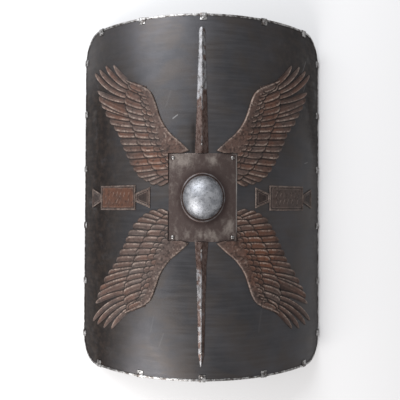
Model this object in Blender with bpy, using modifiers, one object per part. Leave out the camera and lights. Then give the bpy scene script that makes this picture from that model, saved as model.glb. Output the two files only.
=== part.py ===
import math

import bmesh
import bpy
from mathutils import Matrix

# Roman scutum lying with its hollow side down. Metres, X across, +Y to the shield's top, +Z up.
# Every piece is drawn flat first: s along the curve, y along the length, h above the outer face.
# It is then split at the board's fold lines and bent with the board.

# Board
BEND_RADIUS = 0.423
FOLD_ANGLE = math.radians(4.0)
BOARD_HALF_ARC = 0.4
BOARD_HALF_LENGTH = 0.4685
BOARD_THICKNESS = 0.0012
TOP_CORNER_RADIUS = 0.083
BOTTOM_CORNER_RADIUS = 0.075
CORNER_STEPS = 6
GAP = 0.0003

# Edge binding and its straps
RIM_WALL = 0.0012
RIM_LIP = 0.004
CLIP_WALL = 0.0013
CLIP_LEG = 0.0105
CLIP_WIDTH = 0.017
CLIP_REST_CUT = 0.0009
CLIP_RIVET_RADIUS = 0.0038
CLIP_RIVET_RISE = 0.0014
END_CLIP_INSET = 0.088
END_CLIP_SHARES = (-1.0, -0.53, 0.0, 0.53, 1.0)
SIDE_CLIP_INSET = 0.0735
SIDE_CLIP_SHARES = (1.0, 0.612, 0.207, -0.207, -0.612, -1.0)

# Boss and its plate
CENTRE_Y = -0.0035
PLATE_HALF_WIDTH = 0.0885
PLATE_HALF_LENGTH = 0.1135
PLATE_THICKNESS = 0.0013
PLATE_RIVET_INSET = 0.0115
PLATE_RIVET_RADIUS = 0.0052
PLATE_RIVET_RISE = 0.003
DOME_HALF_WIDTH = 0.0505
DOME_HALF_LENGTH = 0.0555
DOME_RISE = 0.043
DOME_WALL = 0.0013
BOSS_STEPS = 22
COLLAR_WIDTH = 0.0078
COLLAR_THICKNESS = 0.0014
HOLE_LEDGE = 0.0008
HAND_HOLE_LEDGE = 0.001

# Spines
SPINE_SHIFT = -0.003
SPINE_ROOT_HALF_WIDTH = 0.0175
SPINE_MIDDLE_HALF_WIDTH = 0.0125
SPINE_TIP_HALF_WIDTH = 0.0075
UPPER_SPINE_MARGIN = 0.0325
LOWER_SPINE_MARGIN = 0.0355
SPINE_EDGE = 0.0014
SPINE_RIDGE = 0.0062
UPPER_TIP_LENGTH = 0.007
LOWER_TIP_LENGTH = 0.03
LOWER_SPINE_NECK = 0.07
LOWER_SPINE_JOINT = 0.117
LOWER_SPINE_STEP = 0.0012
SPINE_RIVET_RADIUS = 0.003
SPINE_RIVET_RISE = 0.0022
NEAR_RIVET_DISTANCE = 0.021
FAR_RIVET_DISTANCE = 0.169
END_RIVET_DISTANCE = 0.036

# Tablets, midway between the plate and the board's long edges
TABLET_HALF_WIDTH = 0.063
TABLET_HALF_LENGTH = 0.0335
TABLET_THICKNESS = 0.0016
TABLET_FRAME = 0.0055
TABLET_FRAME_RISE = 0.0018
HANDLE_REACH = 0.0425
HANDLE_NARROW = 0.0115
HANDLE_WIDE = 0.028

# Wings
WING_UNIT = 0.001
UPPER_WING_SHARE = 1.0
LOWER_WING_SHARE = 0.975
WING_CLEARANCE = 0.001
WING_BASE = 0.0022
QUILL_RISE = 0.0012
COVERT_RISE = 0.0024
SCALE_RISE = 0.0036
BAND_RISE = 0.0052
BAND_WIDTH = 0.015
BAND_TIP_WIDTH = 0.009
BAND_SETBACK = 0.0012
SCALE_SETBACK = 0.0026

# Grip at the back
GRIP_PAD = 0.03
GRIP_PAD_CLEARANCE = 0.01
GRIP_WIDTH = 0.024
GRIP_STRAP_THICKNESS = 0.0025
GRIP_BAR_THICKNESS = 0.007
GRIP_DROP = 0.012
GRIP_SLOPE = 0.016
GRIP_SHOULDER = 0.004
GRIP_RIVET_RADIUS = 0.0055
GRIP_RIVET_RISE = 0.003

# One wing drawn on a grid of WING_UNIT, upper right quarter: start and tip of each short quill,
# then start, bow and tip of each long one
SECONDARIES = [
    ((78, 66), (120, 36)), ((92, 68), (142, 41)), ((101, 70), (160, 50)), ((107, 74), (176, 63)),
    ((118, 82), (190, 80)), ((134, 98), (202, 98)), ((147, 117), (213, 117)), ((158, 136), (222, 136)),
    ((166, 153), (231, 155)), ((173, 170), (242, 175)), ((180, 185), (256, 195)), ((186, 201), (272, 215)),
    ((192, 217), (289, 238)), ((196, 233), (306, 264)), ((198, 250), (318, 285)),
]
PRIMARIES = [
    ((196, 266), (262, 272), (328, 301)),
    ((196, 275), (264, 286), (341, 355)),
    ((196, 284), (254, 298), (319, 361)),
    ((196, 293), (240, 306), (290, 367)),
    ((198, 303), (228, 315), (259, 364)),
]
COVERT_TIPS = [
    (86, 50), (112, 62), (131, 80), (148, 101), (162, 123), (174, 146), (184, 170),
    (193, 195), (203, 221), (213, 247), (216, 275), (206, 304),
]
SCALE_TIPS = [
    (96, 84), (112, 104), (126, 126), (138, 149), (147, 173),
    (154, 198), (159, 223), (163, 248), (165, 272),
]
LEADING_EDGE = [
    (34, 120), (60, 145), (80, 162), (97, 183), (110, 206), (119, 232),
    (128, 258), (139, 277), (157, 290), (185, 302), (216, 317),
]
ROW_NOTCH = 0.09
SECONDARY_NOTCH = 0.84
PRIMARY_NOTCH = 0.25
QUILL_SPREAD = 6.0

# Heights above the outer face that several pieces share
RIM_SKIN = GAP + RIM_WALL
CLIP_SKIN = RIM_SKIN + GAP + CLIP_WALL
PLATE_TOP = GAP + PLATE_THICKNESS
WING_TOP = GAP + WING_BASE
BACK = -BOARD_THICKNESS


def remove_startup_scene():
    for item in list(bpy.data.objects):
        bpy.data.objects.remove(item, do_unlink=True)


def new_collection(name):
    collection = bpy.data.collections.new(name)
    bpy.context.scene.collection.children.link(collection)
    return collection


remove_startup_scene()
PARTS = new_collection("roman_scutum")
CUTTERS = new_collection("cutters")


def new_material(name, colour, metallic, roughness):
    mat = bpy.data.materials.new(name)
    mat.use_nodes = True
    shader = mat.node_tree.nodes["Principled BSDF"]
    shader.inputs["Base Color"].default_value = (*colour, 1.0)
    shader.inputs["Metallic"].default_value = metallic
    shader.inputs["Roughness"].default_value = roughness
    mat.diffuse_color = (*colour, 1.0)
    return mat


DARK_STEEL = new_material("dark_steel", (0.075, 0.078, 0.085), 0.9, 0.42)
WORN_STEEL = new_material("worn_steel", (0.42, 0.41, 0.40), 1.0, 0.35)
RUSTY_STEEL = new_material("rusty_steel", (0.20, 0.13, 0.10), 0.75, 0.55)
BOSS_STEEL = new_material("boss_steel", (0.55, 0.56, 0.58), 1.0, 0.28)


# Bending
def fold_point(s, h):
    # Place of a flat point on the folded board, measured from the axis of the bend
    place = s / (BEND_RADIUS * FOLD_ANGLE)
    k = math.floor(place)
    t = place - k
    a = k * FOLD_ANGLE
    b = a + FOLD_ANGLE
    x = (1.0 - t) * math.sin(a) + t * math.sin(b)
    z = (1.0 - t) * math.cos(a) + t * math.cos(b)
    return (BEND_RADIUS + h) * x, (BEND_RADIUS + h) * z


FLOOR = fold_point(BOARD_HALF_ARC + CLIP_SKIN, BACK - CLIP_SKIN)[1] + CLIP_REST_CUT


def split_at_folds(bm):
    step = BEND_RADIUS * FOLD_ANGLE
    first = math.ceil(min(v.co.x for v in bm.verts) / step - 1e-6)
    last = math.floor(max(v.co.x for v in bm.verts) / step + 1e-6)
    for k in range(first, last + 1):
        geom = bm.verts[:] + bm.edges[:] + bm.faces[:]
        bmesh.ops.bisect_plane(bm, geom=geom, dist=1e-6, plane_co=(k * step, 0, 0), plane_no=(1, 0, 0))


def bend(obj, split=True):
    bm = bmesh.new()
    bm.from_mesh(obj.data)
    if split:
        bmesh.ops.dissolve_limit(bm, angle_limit=math.radians(0.05), verts=bm.verts, edges=bm.edges)
        split_at_folds(bm)
    for v in bm.verts:
        x, z = fold_point(v.co.x, v.co.z)
        v.co = (x, v.co.y, z - FLOOR)
    bmesh.ops.recalc_face_normals(bm, faces=bm.faces)
    bm.to_mesh(obj.data)
    bm.free()


def cut_flat_at_floor(obj):
    bm = bmesh.new()
    bm.from_mesh(obj.data)
    geom = bm.verts[:] + bm.edges[:] + bm.faces[:]
    cut = bmesh.ops.bisect_plane(
        bm, geom=geom, dist=1e-7, plane_co=(0, 0, 0), plane_no=(0, 0, 1), clear_inner=True
    )
    edges = [item for item in cut["geom_cut"] if isinstance(item, bmesh.types.BMEdge)]
    bmesh.ops.holes_fill(bm, edges=edges, sides=0)
    bmesh.ops.recalc_face_normals(bm, faces=bm.faces)
    bm.to_mesh(obj.data)
    bm.free()


# Objects
def add_object(name, mesh, mat=None):
    obj = bpy.data.objects.new(name, mesh)
    if mat is None:
        CUTTERS.objects.link(obj)
        obj.hide_render = True
        obj.display_type = "WIRE"
    else:
        PARTS.objects.link(obj)
        mesh.materials.clear()
        mesh.materials.append(mat)
    return obj


def evaluated_mesh(obj):
    depsgraph = bpy.context.evaluated_depsgraph_get()
    return bpy.data.meshes.new_from_object(obj.evaluated_get(depsgraph))


def clean_mesh(mesh):
    bm = bmesh.new()
    bm.from_mesh(mesh)
    bmesh.ops.remove_doubles(bm, verts=bm.verts, dist=1e-6)
    bmesh.ops.recalc_face_normals(bm, faces=bm.faces)
    bm.to_mesh(mesh)
    bm.free()
    return mesh


def combine(obj, others, operation, solver="EXACT"):
    mats = list(obj.data.materials)
    for other in others:
        mod = obj.modifiers.new("combine", "BOOLEAN")
        mod.operation = operation
        mod.solver = solver
        mod.object = other
        mesh = evaluated_mesh(obj)
        obj.modifiers.clear()
        obj.data = mesh
    obj.data.materials.clear()
    for mat in mats:
        obj.data.materials.append(mat)
    return obj


def slab(name, outlines, low, high, mat=None, frame=None):
    # A flat outline, with any holes, given its thickness
    curve = bpy.data.curves.new(name, "CURVE")
    curve.dimensions = "2D"
    curve.fill_mode = "BOTH"
    curve.extrude = 0.5 * (high - low)
    for outline in outlines:
        spline = curve.splines.new("POLY")
        spline.points.add(len(outline) - 1)
        spline.use_cyclic_u = True
        for point, (x, y) in zip(spline.points, outline):
            point.co = (x, y, 0.0, 1.0)
    guide = bpy.data.objects.new(name + "_outline", curve)
    CUTTERS.objects.link(guide)
    mesh = evaluated_mesh(guide)
    bpy.data.objects.remove(guide, do_unlink=True)
    mesh.transform(Matrix.Translation((0.0, 0.0, 0.5 * (low + high))))
    if frame is not None:
        mesh.transform(frame)
    return add_object(name, clean_mesh(mesh), mat)


def turned(name, profile, steps, base, mat, centre=(0.0, 0.0), stretch=1.0):
    # A profile of radius and height, from the axis down the outer side, turned about the axis
    mesh = bpy.data.meshes.new(name)
    verts = [(r, 0.0, h) for r, h in profile]
    mesh.from_pydata(verts, [(i, i + 1) for i in range(len(verts) - 1)], [])
    guide = bpy.data.objects.new(name + "_profile", mesh)
    CUTTERS.objects.link(guide)
    screw = guide.modifiers.new("turn", "SCREW")
    screw.steps = steps
    screw.render_steps = steps
    screw.use_merge_vertices = True
    screw.merge_threshold = 0.000001
    solid = evaluated_mesh(guide)
    bpy.data.objects.remove(guide, do_unlink=True)
    solid.transform(Matrix.Diagonal((1.0, stretch, 1.0, 1.0)))
    solid.transform(Matrix.Translation((centre[0], centre[1], base)))
    return add_object(name, clean_mesh(solid), mat)


def loft(name, sections, mat):
    # Sections with equally many points, joined one to the next
    verts = [point for section in sections for point in section]
    m = len(sections[0])
    faces = []
    for i in range(len(sections) - 1):
        for j in range(m):
            k = (j + 1) % m
            faces.append((i * m + j, i * m + k, (i + 1) * m + k, (i + 1) * m + j))
    faces.append(tuple(range(m)))
    faces.append(tuple(range((len(sections) - 1) * m, len(sections) * m)))
    mesh = bpy.data.meshes.new(name)
    mesh.from_pydata(verts, [], faces)
    return add_object(name, clean_mesh(mesh), mat)


# Outlines
def rectangle(x0, x1, y0, y1):
    return [(x0, y0), (x1, y0), (x1, y1), (x0, y1)]


def ellipse(rx, ry, steps):
    points = []
    for i in range(steps):
        angle = 2.0 * math.pi * (i + 0.5) / steps
        points.append((rx * math.cos(angle), CENTRE_Y + ry * math.sin(angle)))
    return points


def board_outline(grow):
    points = []
    corners = (
        (1, 1, TOP_CORNER_RADIUS, 0), (-1, 1, TOP_CORNER_RADIUS, 90),
        (-1, -1, BOTTOM_CORNER_RADIUS, 180), (1, -1, BOTTOM_CORNER_RADIUS, 270),
    )
    for sx, sy, radius, start in corners:
        cx = sx * (BOARD_HALF_ARC - radius)
        cy = sy * (BOARD_HALF_LENGTH - radius)
        for i in range(CORNER_STEPS + 1):
            angle = math.radians(start + 90.0 * i / CORNER_STEPS)
            reach = radius + grow
            points.append((cx + reach * math.cos(angle), cy + reach * math.sin(angle)))
    return points


def edge_place(side, sign, distance):
    # Point on the board's edge and its outward angle, walking from the middle of one side
    radius = TOP_CORNER_RADIUS if (sign if side == "end" else distance) > 0 else BOTTOM_CORNER_RADIUS
    half = BOARD_HALF_ARC if side == "end" else BOARD_HALF_LENGTH
    straight = min(abs(distance), half - radius)
    turn = (abs(distance) - straight) / radius
    along = math.copysign(straight + radius * math.sin(turn), distance)
    if side == "end":
        across = BOARD_HALF_LENGTH - radius * (1.0 - math.cos(turn))
        return along, sign * across, math.atan2(sign * math.cos(turn), math.copysign(math.sin(turn), distance))
    across = BOARD_HALF_ARC - radius * (1.0 - math.cos(turn))
    return sign * across, along, math.atan2(math.copysign(math.sin(turn), distance), sign * math.cos(turn))


def add_board():
    hole = ellipse(
        DOME_HALF_WIDTH - DOME_WALL - HOLE_LEDGE - HAND_HOLE_LEDGE,
        DOME_HALF_LENGTH - DOME_WALL - HOLE_LEDGE - HAND_HOLE_LEDGE, 24,
    )
    bend(slab("board", [board_outline(0.0), hole], BACK, 0.0, DARK_STEEL))


def add_rim():
    inner = board_outline(-RIM_LIP)
    rim = slab("rim", [board_outline(RIM_SKIN), inner], BACK - RIM_SKIN, RIM_SKIN, WORN_STEEL)
    room = slab("board_room", [board_outline(GAP)], BACK - GAP, GAP)
    bend(combine(rim, [room], "DIFFERENCE"))


def strap_ring():
    # The straps' section all the way round, from which each strap takes its own length
    shoulder = RIM_LIP + GAP + CLIP_WALL
    foot = RIM_LIP + GAP + CLIP_LEG
    face = GAP + CLIP_WALL
    ring = slab("strap_ring", [board_outline(CLIP_SKIN), board_outline(-shoulder)], BACK - CLIP_SKIN, CLIP_SKIN)
    legs = slab("strap_legs", [board_outline(GAP), board_outline(-foot)], BACK - face, face)
    rim_room = slab(
        "rim_room", [board_outline(RIM_SKIN + GAP), board_outline(-RIM_LIP - GAP)],
        BACK - RIM_SKIN - GAP, RIM_SKIN + GAP,
    )
    board_room = slab("strap_board_room", [board_outline(RIM_SKIN)], BACK - GAP, GAP)
    combine(ring, [legs], "UNION")
    return combine(ring, [rim_room, board_room], "DIFFERENCE")


def rivet_profile(radius, rise):
    return [(0.0, rise), (0.7 * radius, 0.75 * rise), (radius, 0.0), (0.0, 0.0)]


def add_clip(name, ring, place):
    x, y, angle = place
    reach = CLIP_LEG + RIM_LIP + 0.01
    block = rectangle(-reach, 0.01, -0.5 * CLIP_WIDTH, 0.5 * CLIP_WIDTH)
    frame = Matrix.Translation((x, y, 0.0)) @ Matrix.Rotation(angle, 4, "Z")
    clip = add_object(name, ring.data.copy(), WORN_STEEL)
    combine(clip, [slab(name + "_length", [block], -0.02, 0.02, None, frame)], "INTERSECT")
    inward = RIM_LIP + GAP + 0.5 * (CLIP_WALL + CLIP_LEG)
    centre = (x - inward * math.cos(angle), y - inward * math.sin(angle))
    profile = rivet_profile(CLIP_RIVET_RADIUS, CLIP_RIVET_RISE + 0.5 * CLIP_WALL)
    head = turned(name + "_head", profile, 6, GAP + 0.5 * CLIP_WALL, None, centre)
    combine(clip, [head], "UNION")
    bend(clip)
    cut_flat_at_floor(clip)


def add_clips():
    ring = strap_ring()
    names = ("far_left", "left", "middle", "right", "far_right")
    for sign, end in ((1, "top"), (-1, "bottom")):
        for name, share in zip(names, END_CLIP_SHARES):
            place = edge_place("end", sign, share * (BOARD_HALF_ARC - END_CLIP_INSET))
            add_clip("clip_" + end + "_" + name, ring, place)
    for sign, side in ((-1, "left"), (1, "right")):
        for name, share in zip("abcdef", SIDE_CLIP_SHARES):
            place = edge_place("side", sign, share * (BOARD_HALF_LENGTH - SIDE_CLIP_INSET))
            add_clip("clip_" + side + "_" + name, ring, place)


def add_plate():
    outline = rectangle(
        -PLATE_HALF_WIDTH, PLATE_HALF_WIDTH, CENTRE_Y - PLATE_HALF_LENGTH, CENTRE_Y + PLATE_HALF_LENGTH
    )
    ledge = DOME_WALL + HOLE_LEDGE
    hole = ellipse(DOME_HALF_WIDTH - ledge, DOME_HALF_LENGTH - ledge, 24)
    bend(slab("boss_plate", [outline, hole], GAP, PLATE_TOP, RUSTY_STEEL))


def add_boss():
    steps = 5
    outer = []
    inner = []
    for i in range(steps + 1):
        angle = 0.5 * math.pi * i / steps
        outer.append((DOME_HALF_WIDTH * math.sin(angle), COLLAR_THICKNESS + DOME_RISE * math.cos(angle)))
        reach = DOME_RISE + COLLAR_THICKNESS - DOME_WALL
        inner.append(((DOME_HALF_WIDTH - DOME_WALL) * math.sin(angle), reach * math.cos(angle)))
    edge = DOME_HALF_WIDTH + COLLAR_WIDTH
    profile = outer + [(edge, COLLAR_THICKNESS), (edge, 0.0)] + inner[::-1]
    stretch = DOME_HALF_LENGTH / DOME_HALF_WIDTH
    boss = turned("boss", profile, BOSS_STEPS, PLATE_TOP + GAP, BOSS_STEEL, (0.0, CENTRE_Y), stretch)
    bend(boss, split=False)


def add_rivet(name, centre, radius, base, rise, steps, mat):
    bend(turned(name, rivet_profile(radius, rise), steps, base, mat, centre), split=False)


def add_plate_rivets():
    dx = PLATE_HALF_WIDTH - PLATE_RIVET_INSET
    dy = PLATE_HALF_LENGTH - PLATE_RIVET_INSET
    corners = (("top_left", -1, 1), ("top_right", 1, 1), ("bottom_left", -1, -1), ("bottom_right", 1, -1))
    for name, sx, sy in corners:
        centre = (sx * dx, CENTRE_Y + sy * dy)
        add_rivet(
            "plate_rivet_" + name, centre, PLATE_RIVET_RADIUS, PLATE_TOP + GAP, PLATE_RIVET_RISE, 10, WORN_STEEL
        )


def spine_section(y, half, ridge):
    c = SPINE_SHIFT
    edge = GAP + min(SPINE_EDGE, 0.6 * ridge)
    return [
        (c - half, y, GAP), (c + half, y, GAP), (c + half, y, edge), (c, y, GAP + ridge), (c - half, y, edge),
    ]


def add_spines():
    top = CENTRE_Y + PLATE_HALF_LENGTH + 2.0 * GAP
    low = CENTRE_Y - PLATE_HALF_LENGTH - 2.0 * GAP
    top_end = BOARD_HALF_LENGTH - UPPER_SPINE_MARGIN
    low_end = -BOARD_HALF_LENGTH + LOWER_SPINE_MARGIN
    joint = low - LOWER_SPINE_JOINT
    ridge = SPINE_RIDGE
    tip = SPINE_TIP_HALF_WIDTH
    step = LOWER_SPINE_STEP
    upper = [
        (top, SPINE_ROOT_HALF_WIDTH, ridge),
        (0.5 * (top + top_end), SPINE_MIDDLE_HALF_WIDTH, ridge),
        (top_end - UPPER_TIP_LENGTH, tip, 0.8 * ridge),
        (top_end - 0.3 * UPPER_TIP_LENGTH, 0.75 * tip, 0.65 * ridge),
        (top_end, 0.35 * tip, 0.4 * ridge),
    ]
    lower = [
        (low, SPINE_ROOT_HALF_WIDTH, ridge),
        (low - LOWER_SPINE_NECK, SPINE_MIDDLE_HALF_WIDTH, ridge),
        (joint, SPINE_MIDDLE_HALF_WIDTH, ridge),
        (joint - GAP, SPINE_MIDDLE_HALF_WIDTH - step, ridge - step),
        (low_end + LOWER_TIP_LENGTH, tip, ridge - step),
        (low_end, 0.15 * tip, 0.35 * ridge),
    ]
    bend(loft("spine_upper", [spine_section(*s) for s in upper], RUSTY_STEEL))
    bend(loft("spine_lower", [spine_section(*s) for s in lower], RUSTY_STEEL))
    seat = GAP + ridge + GAP
    marks = (
        ("upper_near", top + NEAR_RIVET_DISTANCE, seat),
        ("upper_far", top + FAR_RIVET_DISTANCE, seat),
        ("lower_near", low - NEAR_RIVET_DISTANCE, seat),
        ("lower_far", low - FAR_RIVET_DISTANCE, seat - step),
        ("lower_end", low_end + END_RIVET_DISTANCE, seat - step),
    )
    for name, y, level in marks:
        centre = (SPINE_SHIFT, y)
        add_rivet("spine_rivet_" + name, centre, SPINE_RIVET_RADIUS, level, SPINE_RIVET_RISE, 8, WORN_STEEL)


def tablet_outline(cx):
    w = TABLET_HALF_WIDTH
    reach = w + HANDLE_REACH
    half = TABLET_HALF_LENGTH
    right = [
        (w, -half), (w, -HANDLE_NARROW), (reach, -HANDLE_WIDE),
        (reach, HANDLE_WIDE), (w, HANDLE_NARROW), (w, half),
    ]
    left = [(-x, -y) for x, y in right]
    return [(cx + x, CENTRE_Y + y) for x, y in right + left]


def handle_field(cx, sign):
    frame = TABLET_FRAME
    near = TABLET_HALF_WIDTH + frame
    far = TABLET_HALF_WIDTH + HANDLE_REACH - frame
    slope = (HANDLE_WIDE - HANDLE_NARROW) / HANDLE_REACH
    near_half = HANDLE_NARROW + slope * frame - frame * math.hypot(1.0, slope)
    far_half = HANDLE_WIDE - slope * frame - frame * math.hypot(1.0, slope)
    points = [(near, -near_half), (far, -far_half), (far, far_half), (near, near_half)]
    return [(cx + sign * x, CENTRE_Y + y) for x, y in points]


def add_tablets():
    distance = 0.5 * (PLATE_HALF_WIDTH + BOARD_HALF_ARC)
    ground = GAP + TABLET_THICKNESS
    top = ground + TABLET_FRAME_RISE
    frame = TABLET_FRAME
    for name, cx in (("tablet_left", -distance), ("tablet_right", distance)):
        tablet = slab(name, [tablet_outline(cx)], GAP, top, RUSTY_STEEL)
        field = rectangle(
            cx - TABLET_HALF_WIDTH + frame, cx + TABLET_HALF_WIDTH - frame,
            CENTRE_Y - TABLET_HALF_LENGTH + frame, CENTRE_Y + TABLET_HALF_LENGTH - frame,
        )
        tools = [slab(name + "_field", [field], ground, top + 0.01)]
        for sign, side in ((-1, "left"), (1, "right")):
            tools.append(slab(name + "_handle_" + side, [handle_field(cx, sign)], ground, top + 0.01))
        bend(combine(tablet, tools, "DIFFERENCE"))


# Wings
def on_grid(point):
    return point[0] * WING_UNIT, point[1] * WING_UNIT


def wing_place(point, sx, sy):
    # The drawing's place on one quarter of the shield
    share = UPPER_WING_SHARE if sy > 0 else LOWER_WING_SHARE
    return point[0] * sx, CENTRE_Y + point[1] * sy * share


def between(a, b, t):
    return a[0] + (b[0] - a[0]) * t, a[1] + (b[1] - a[1]) * t


def beside(a, b, offset):
    # The point at the given distance left of a, looking towards b
    size = math.hypot(b[0] - a[0], b[1] - a[1])
    return a[0] - (b[1] - a[1]) / size * offset, a[1] + (b[0] - a[0]) / size * offset


def valleys(quills, notch):
    # Lines between neighbouring quills, and one outside the first and the last
    lines = []
    last = len(quills) - 1
    for j in range(last + 2):
        if 0 < j <= last:
            pairs = zip(quills[j - 1], quills[j])
            line = [between(a, b, 0.5) for a, b in pairs]
        else:
            quill = quills[0] if j == 0 else quills[last]
            offset = (-QUILL_SPREAD if j == 0 else QUILL_SPREAD) * WING_UNIT
            line = [beside(quill[i], quill[i + 1], offset) for i in range(len(quill) - 1)]
            line.append(quill[-1])
        line[-1] = between(line[-2], line[-1], notch)
        lines.append(line)
    return lines


def feather_fan(name, rows, notch, sx, sy, mat):
    # Neighbouring feathers as one slab: a ridge along every quill, a valley between, free tips
    rows = [[on_grid(p) for p in row] for row in rows]
    lines = valleys(rows, notch)
    n = len(rows)
    k = len(rows[0])
    verts = []
    for line in lines:
        verts += [(*wing_place(p, sx, sy), WING_TOP) for p in line]
    ridge = len(verts)
    for row in rows:
        verts += [(*wing_place(p, sx, sy), WING_TOP + QUILL_RISE) for p in row]
    faces = []
    for i in range(n):
        for part in range(k - 1):
            v = k * i + part
            q = ridge + k * i + part
            faces.append((v, q, q + 1, v + 1))
            faces.append((q, v + k, v + k + 1, q + 1))
    border = []
    for i in range(n):
        border += [k * i, ridge + k * i]
    border += [k * n + part for part in range(k)]
    for i in range(n - 1, -1, -1):
        border += [ridge + k * i + k - 1, k * i + k - 1]
    border += [part for part in range(k - 2, 0, -1)]
    low = len(verts)
    verts += [(verts[t][0], verts[t][1], GAP) for t in border]
    m = len(border)
    for i in range(m):
        j = (i + 1) % m
        faces.append((border[i], border[j], low + j, low + i))
    faces.append(tuple(range(low, low + m)))
    mesh = bpy.data.meshes.new(name)
    mesh.from_pydata(verts, [], faces)
    return add_object(name, clean_mesh(mesh), mat)


def edge_point(share, inset):
    # A point along the wing's leading edge, moved inwards
    edge = [on_grid(p) for p in LEADING_EDGE]
    place = share * (len(edge) - 1)
    k = min(int(place), len(edge) - 2)
    point = between(edge[k], edge[k + 1], place - k)
    shift = beside(edge[k], edge[k + 1], -inset)
    return point[0] + shift[0] - edge[k][0], point[1] + shift[1] - edge[k][1]


def feather_row(tips, inset):
    tips = [on_grid(p) for p in tips]
    n = len(tips)
    outline = []
    for i in range(n):
        outline.append(tips[i])
        if i + 1 < n:
            root = edge_point((i + 0.5) / (n - 1), inset)
            outline.append(between(between(tips[i], tips[i + 1], 0.5), root, ROW_NOTCH))
    return outline + [edge_point(i / (n - 1), inset) for i in range(n - 1, -1, -1)]


def band_outline():
    n = len(LEADING_EDGE)
    outer = []
    inner = []
    for i in range(n):
        outer.append(edge_point(i / (n - 1), BAND_SETBACK))
        taper = min(1.0, 3.0 * (1.0 - i / (n - 1)))
        width = BAND_TIP_WIDTH + (BAND_WIDTH - BAND_TIP_WIDTH) * taper
        inner.append(edge_point(i / (n - 1), width))
    return outer + inner[::-1]


def add_wings():
    room = rectangle(
        -PLATE_HALF_WIDTH - WING_CLEARANCE, PLATE_HALF_WIDTH + WING_CLEARANCE,
        CENTRE_Y - PLATE_HALF_LENGTH - WING_CLEARANCE, CENTRE_Y + PLATE_HALF_LENGTH + WING_CLEARANCE,
    )
    plate_room = slab("plate_room", [room], -0.01, 0.03)
    rows = (
        ("coverts", feather_row(COVERT_TIPS, 0.0), 0.0, COVERT_RISE),
        ("scales", feather_row(SCALE_TIPS, SCALE_SETBACK), 0.5 * WING_BASE, SCALE_RISE),
        ("band", band_outline(), 0.7 * WING_BASE, BAND_RISE),
    )
    wings = (
        ("wing_upper_right", 1, 1), ("wing_upper_left", -1, 1),
        ("wing_lower_right", 1, -1), ("wing_lower_left", -1, -1),
    )
    for name, sx, sy in wings:
        wing = feather_fan(name, SECONDARIES, SECONDARY_NOTCH, sx, sy, RUSTY_STEEL)
        tools = [feather_fan(name + "_primaries", PRIMARIES, PRIMARY_NOTCH, sx, sy, None)]
        for row, outline, low, rise in rows:
            points = [wing_place(p, sx, sy) for p in outline]
            tools.append(slab(name + "_" + row, [points], GAP + low, WING_TOP + rise))
        # Shallow crossings between rows of feathers leave open edges with the exact solver
        combine(wing, tools, "UNION", "MANIFOLD")
        bend(combine(wing, [plate_room], "DIFFERENCE", "MANIFOLD"))


def add_grip():
    # The side view of the bar, given its width along Y
    hole = DOME_HALF_WIDTH - DOME_WALL - HOLE_LEDGE - HAND_HOLE_LEDGE
    pad_in = hole + GRIP_PAD_CLEARANCE
    pad_out = pad_in + GRIP_PAD
    knee = pad_in - GRIP_SLOPE
    top = BACK - GAP
    strap = top - GRIP_STRAP_THICKNESS
    bar_top = top - GRIP_DROP
    bar_low = bar_top - GRIP_BAR_THICKNESS
    right = [
        (knee, bar_low), (pad_in, strap), (pad_out, strap),
        (pad_out, top), (pad_in - GRIP_SHOULDER, top), (knee, bar_top),
    ]
    left = [(-x, z) for x, z in reversed(right)]
    stand = Matrix.Translation((0.0, CENTRE_Y, 0.0)) @ Matrix.Rotation(math.radians(90.0), 4, "X")
    bend(slab("grip", [right + left], -0.5 * GRIP_WIDTH, 0.5 * GRIP_WIDTH, DARK_STEEL, stand))
    for name, sign in (("grip_rivet_left", -1), ("grip_rivet_right", 1)):
        centre = (sign * (pad_in + 0.5 * GRIP_PAD), CENTRE_Y)
        base = strap - GAP - GRIP_RIVET_RISE
        profile = [(r, GRIP_RIVET_RISE - h) for r, h in rivet_profile(GRIP_RIVET_RADIUS, GRIP_RIVET_RISE)]
        bend(turned(name, profile[::-1], 10, base, DARK_STEEL, centre), split=False)


add_board()
add_rim()
add_clips()
add_plate()
add_boss()
add_plate_rivets()
add_spines()
add_tablets()
add_wings()
add_grip()
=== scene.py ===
import math
from collections import namedtuple

import bpy
import numpy as np
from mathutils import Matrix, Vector


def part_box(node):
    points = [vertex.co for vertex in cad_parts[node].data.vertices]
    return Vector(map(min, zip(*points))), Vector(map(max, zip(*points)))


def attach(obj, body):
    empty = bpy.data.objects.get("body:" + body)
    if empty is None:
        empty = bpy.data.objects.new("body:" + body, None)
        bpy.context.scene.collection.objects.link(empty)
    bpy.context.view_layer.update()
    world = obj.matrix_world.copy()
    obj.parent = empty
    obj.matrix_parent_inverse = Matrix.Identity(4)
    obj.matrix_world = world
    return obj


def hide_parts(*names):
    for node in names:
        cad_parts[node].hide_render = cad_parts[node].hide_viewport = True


# Looks of the Roman scutum. Each piece is drawn flat in millimetres, as s along the curve, y along
# the length and h above the board's outer face, and is then bent to the shield's round form.
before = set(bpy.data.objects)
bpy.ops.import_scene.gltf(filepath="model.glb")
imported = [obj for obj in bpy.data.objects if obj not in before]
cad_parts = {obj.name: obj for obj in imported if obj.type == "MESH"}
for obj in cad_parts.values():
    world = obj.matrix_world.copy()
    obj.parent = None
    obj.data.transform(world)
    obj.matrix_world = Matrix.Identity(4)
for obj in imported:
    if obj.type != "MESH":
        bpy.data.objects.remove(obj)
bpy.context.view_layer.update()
MM = 0.001

# Board, whose width, length and height come from the frame
BOARD_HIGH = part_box("board")[1]
BEND_RADIUS = 423.0
BEND_AXIS = BEND_RADIUS - BOARD_HIGH.z / MM
HALF_LENGTH = BOARD_HIGH.y / MM
HALF_ARC = BEND_RADIUS * math.asin(BOARD_HIGH.x / MM / BEND_RADIUS)
THICKNESS = 1.2
TOP_CORNER = 83.0
BOTTOM_CORNER = 75.0
GAP = 0.3
BACK = -THICKNESS

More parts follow.
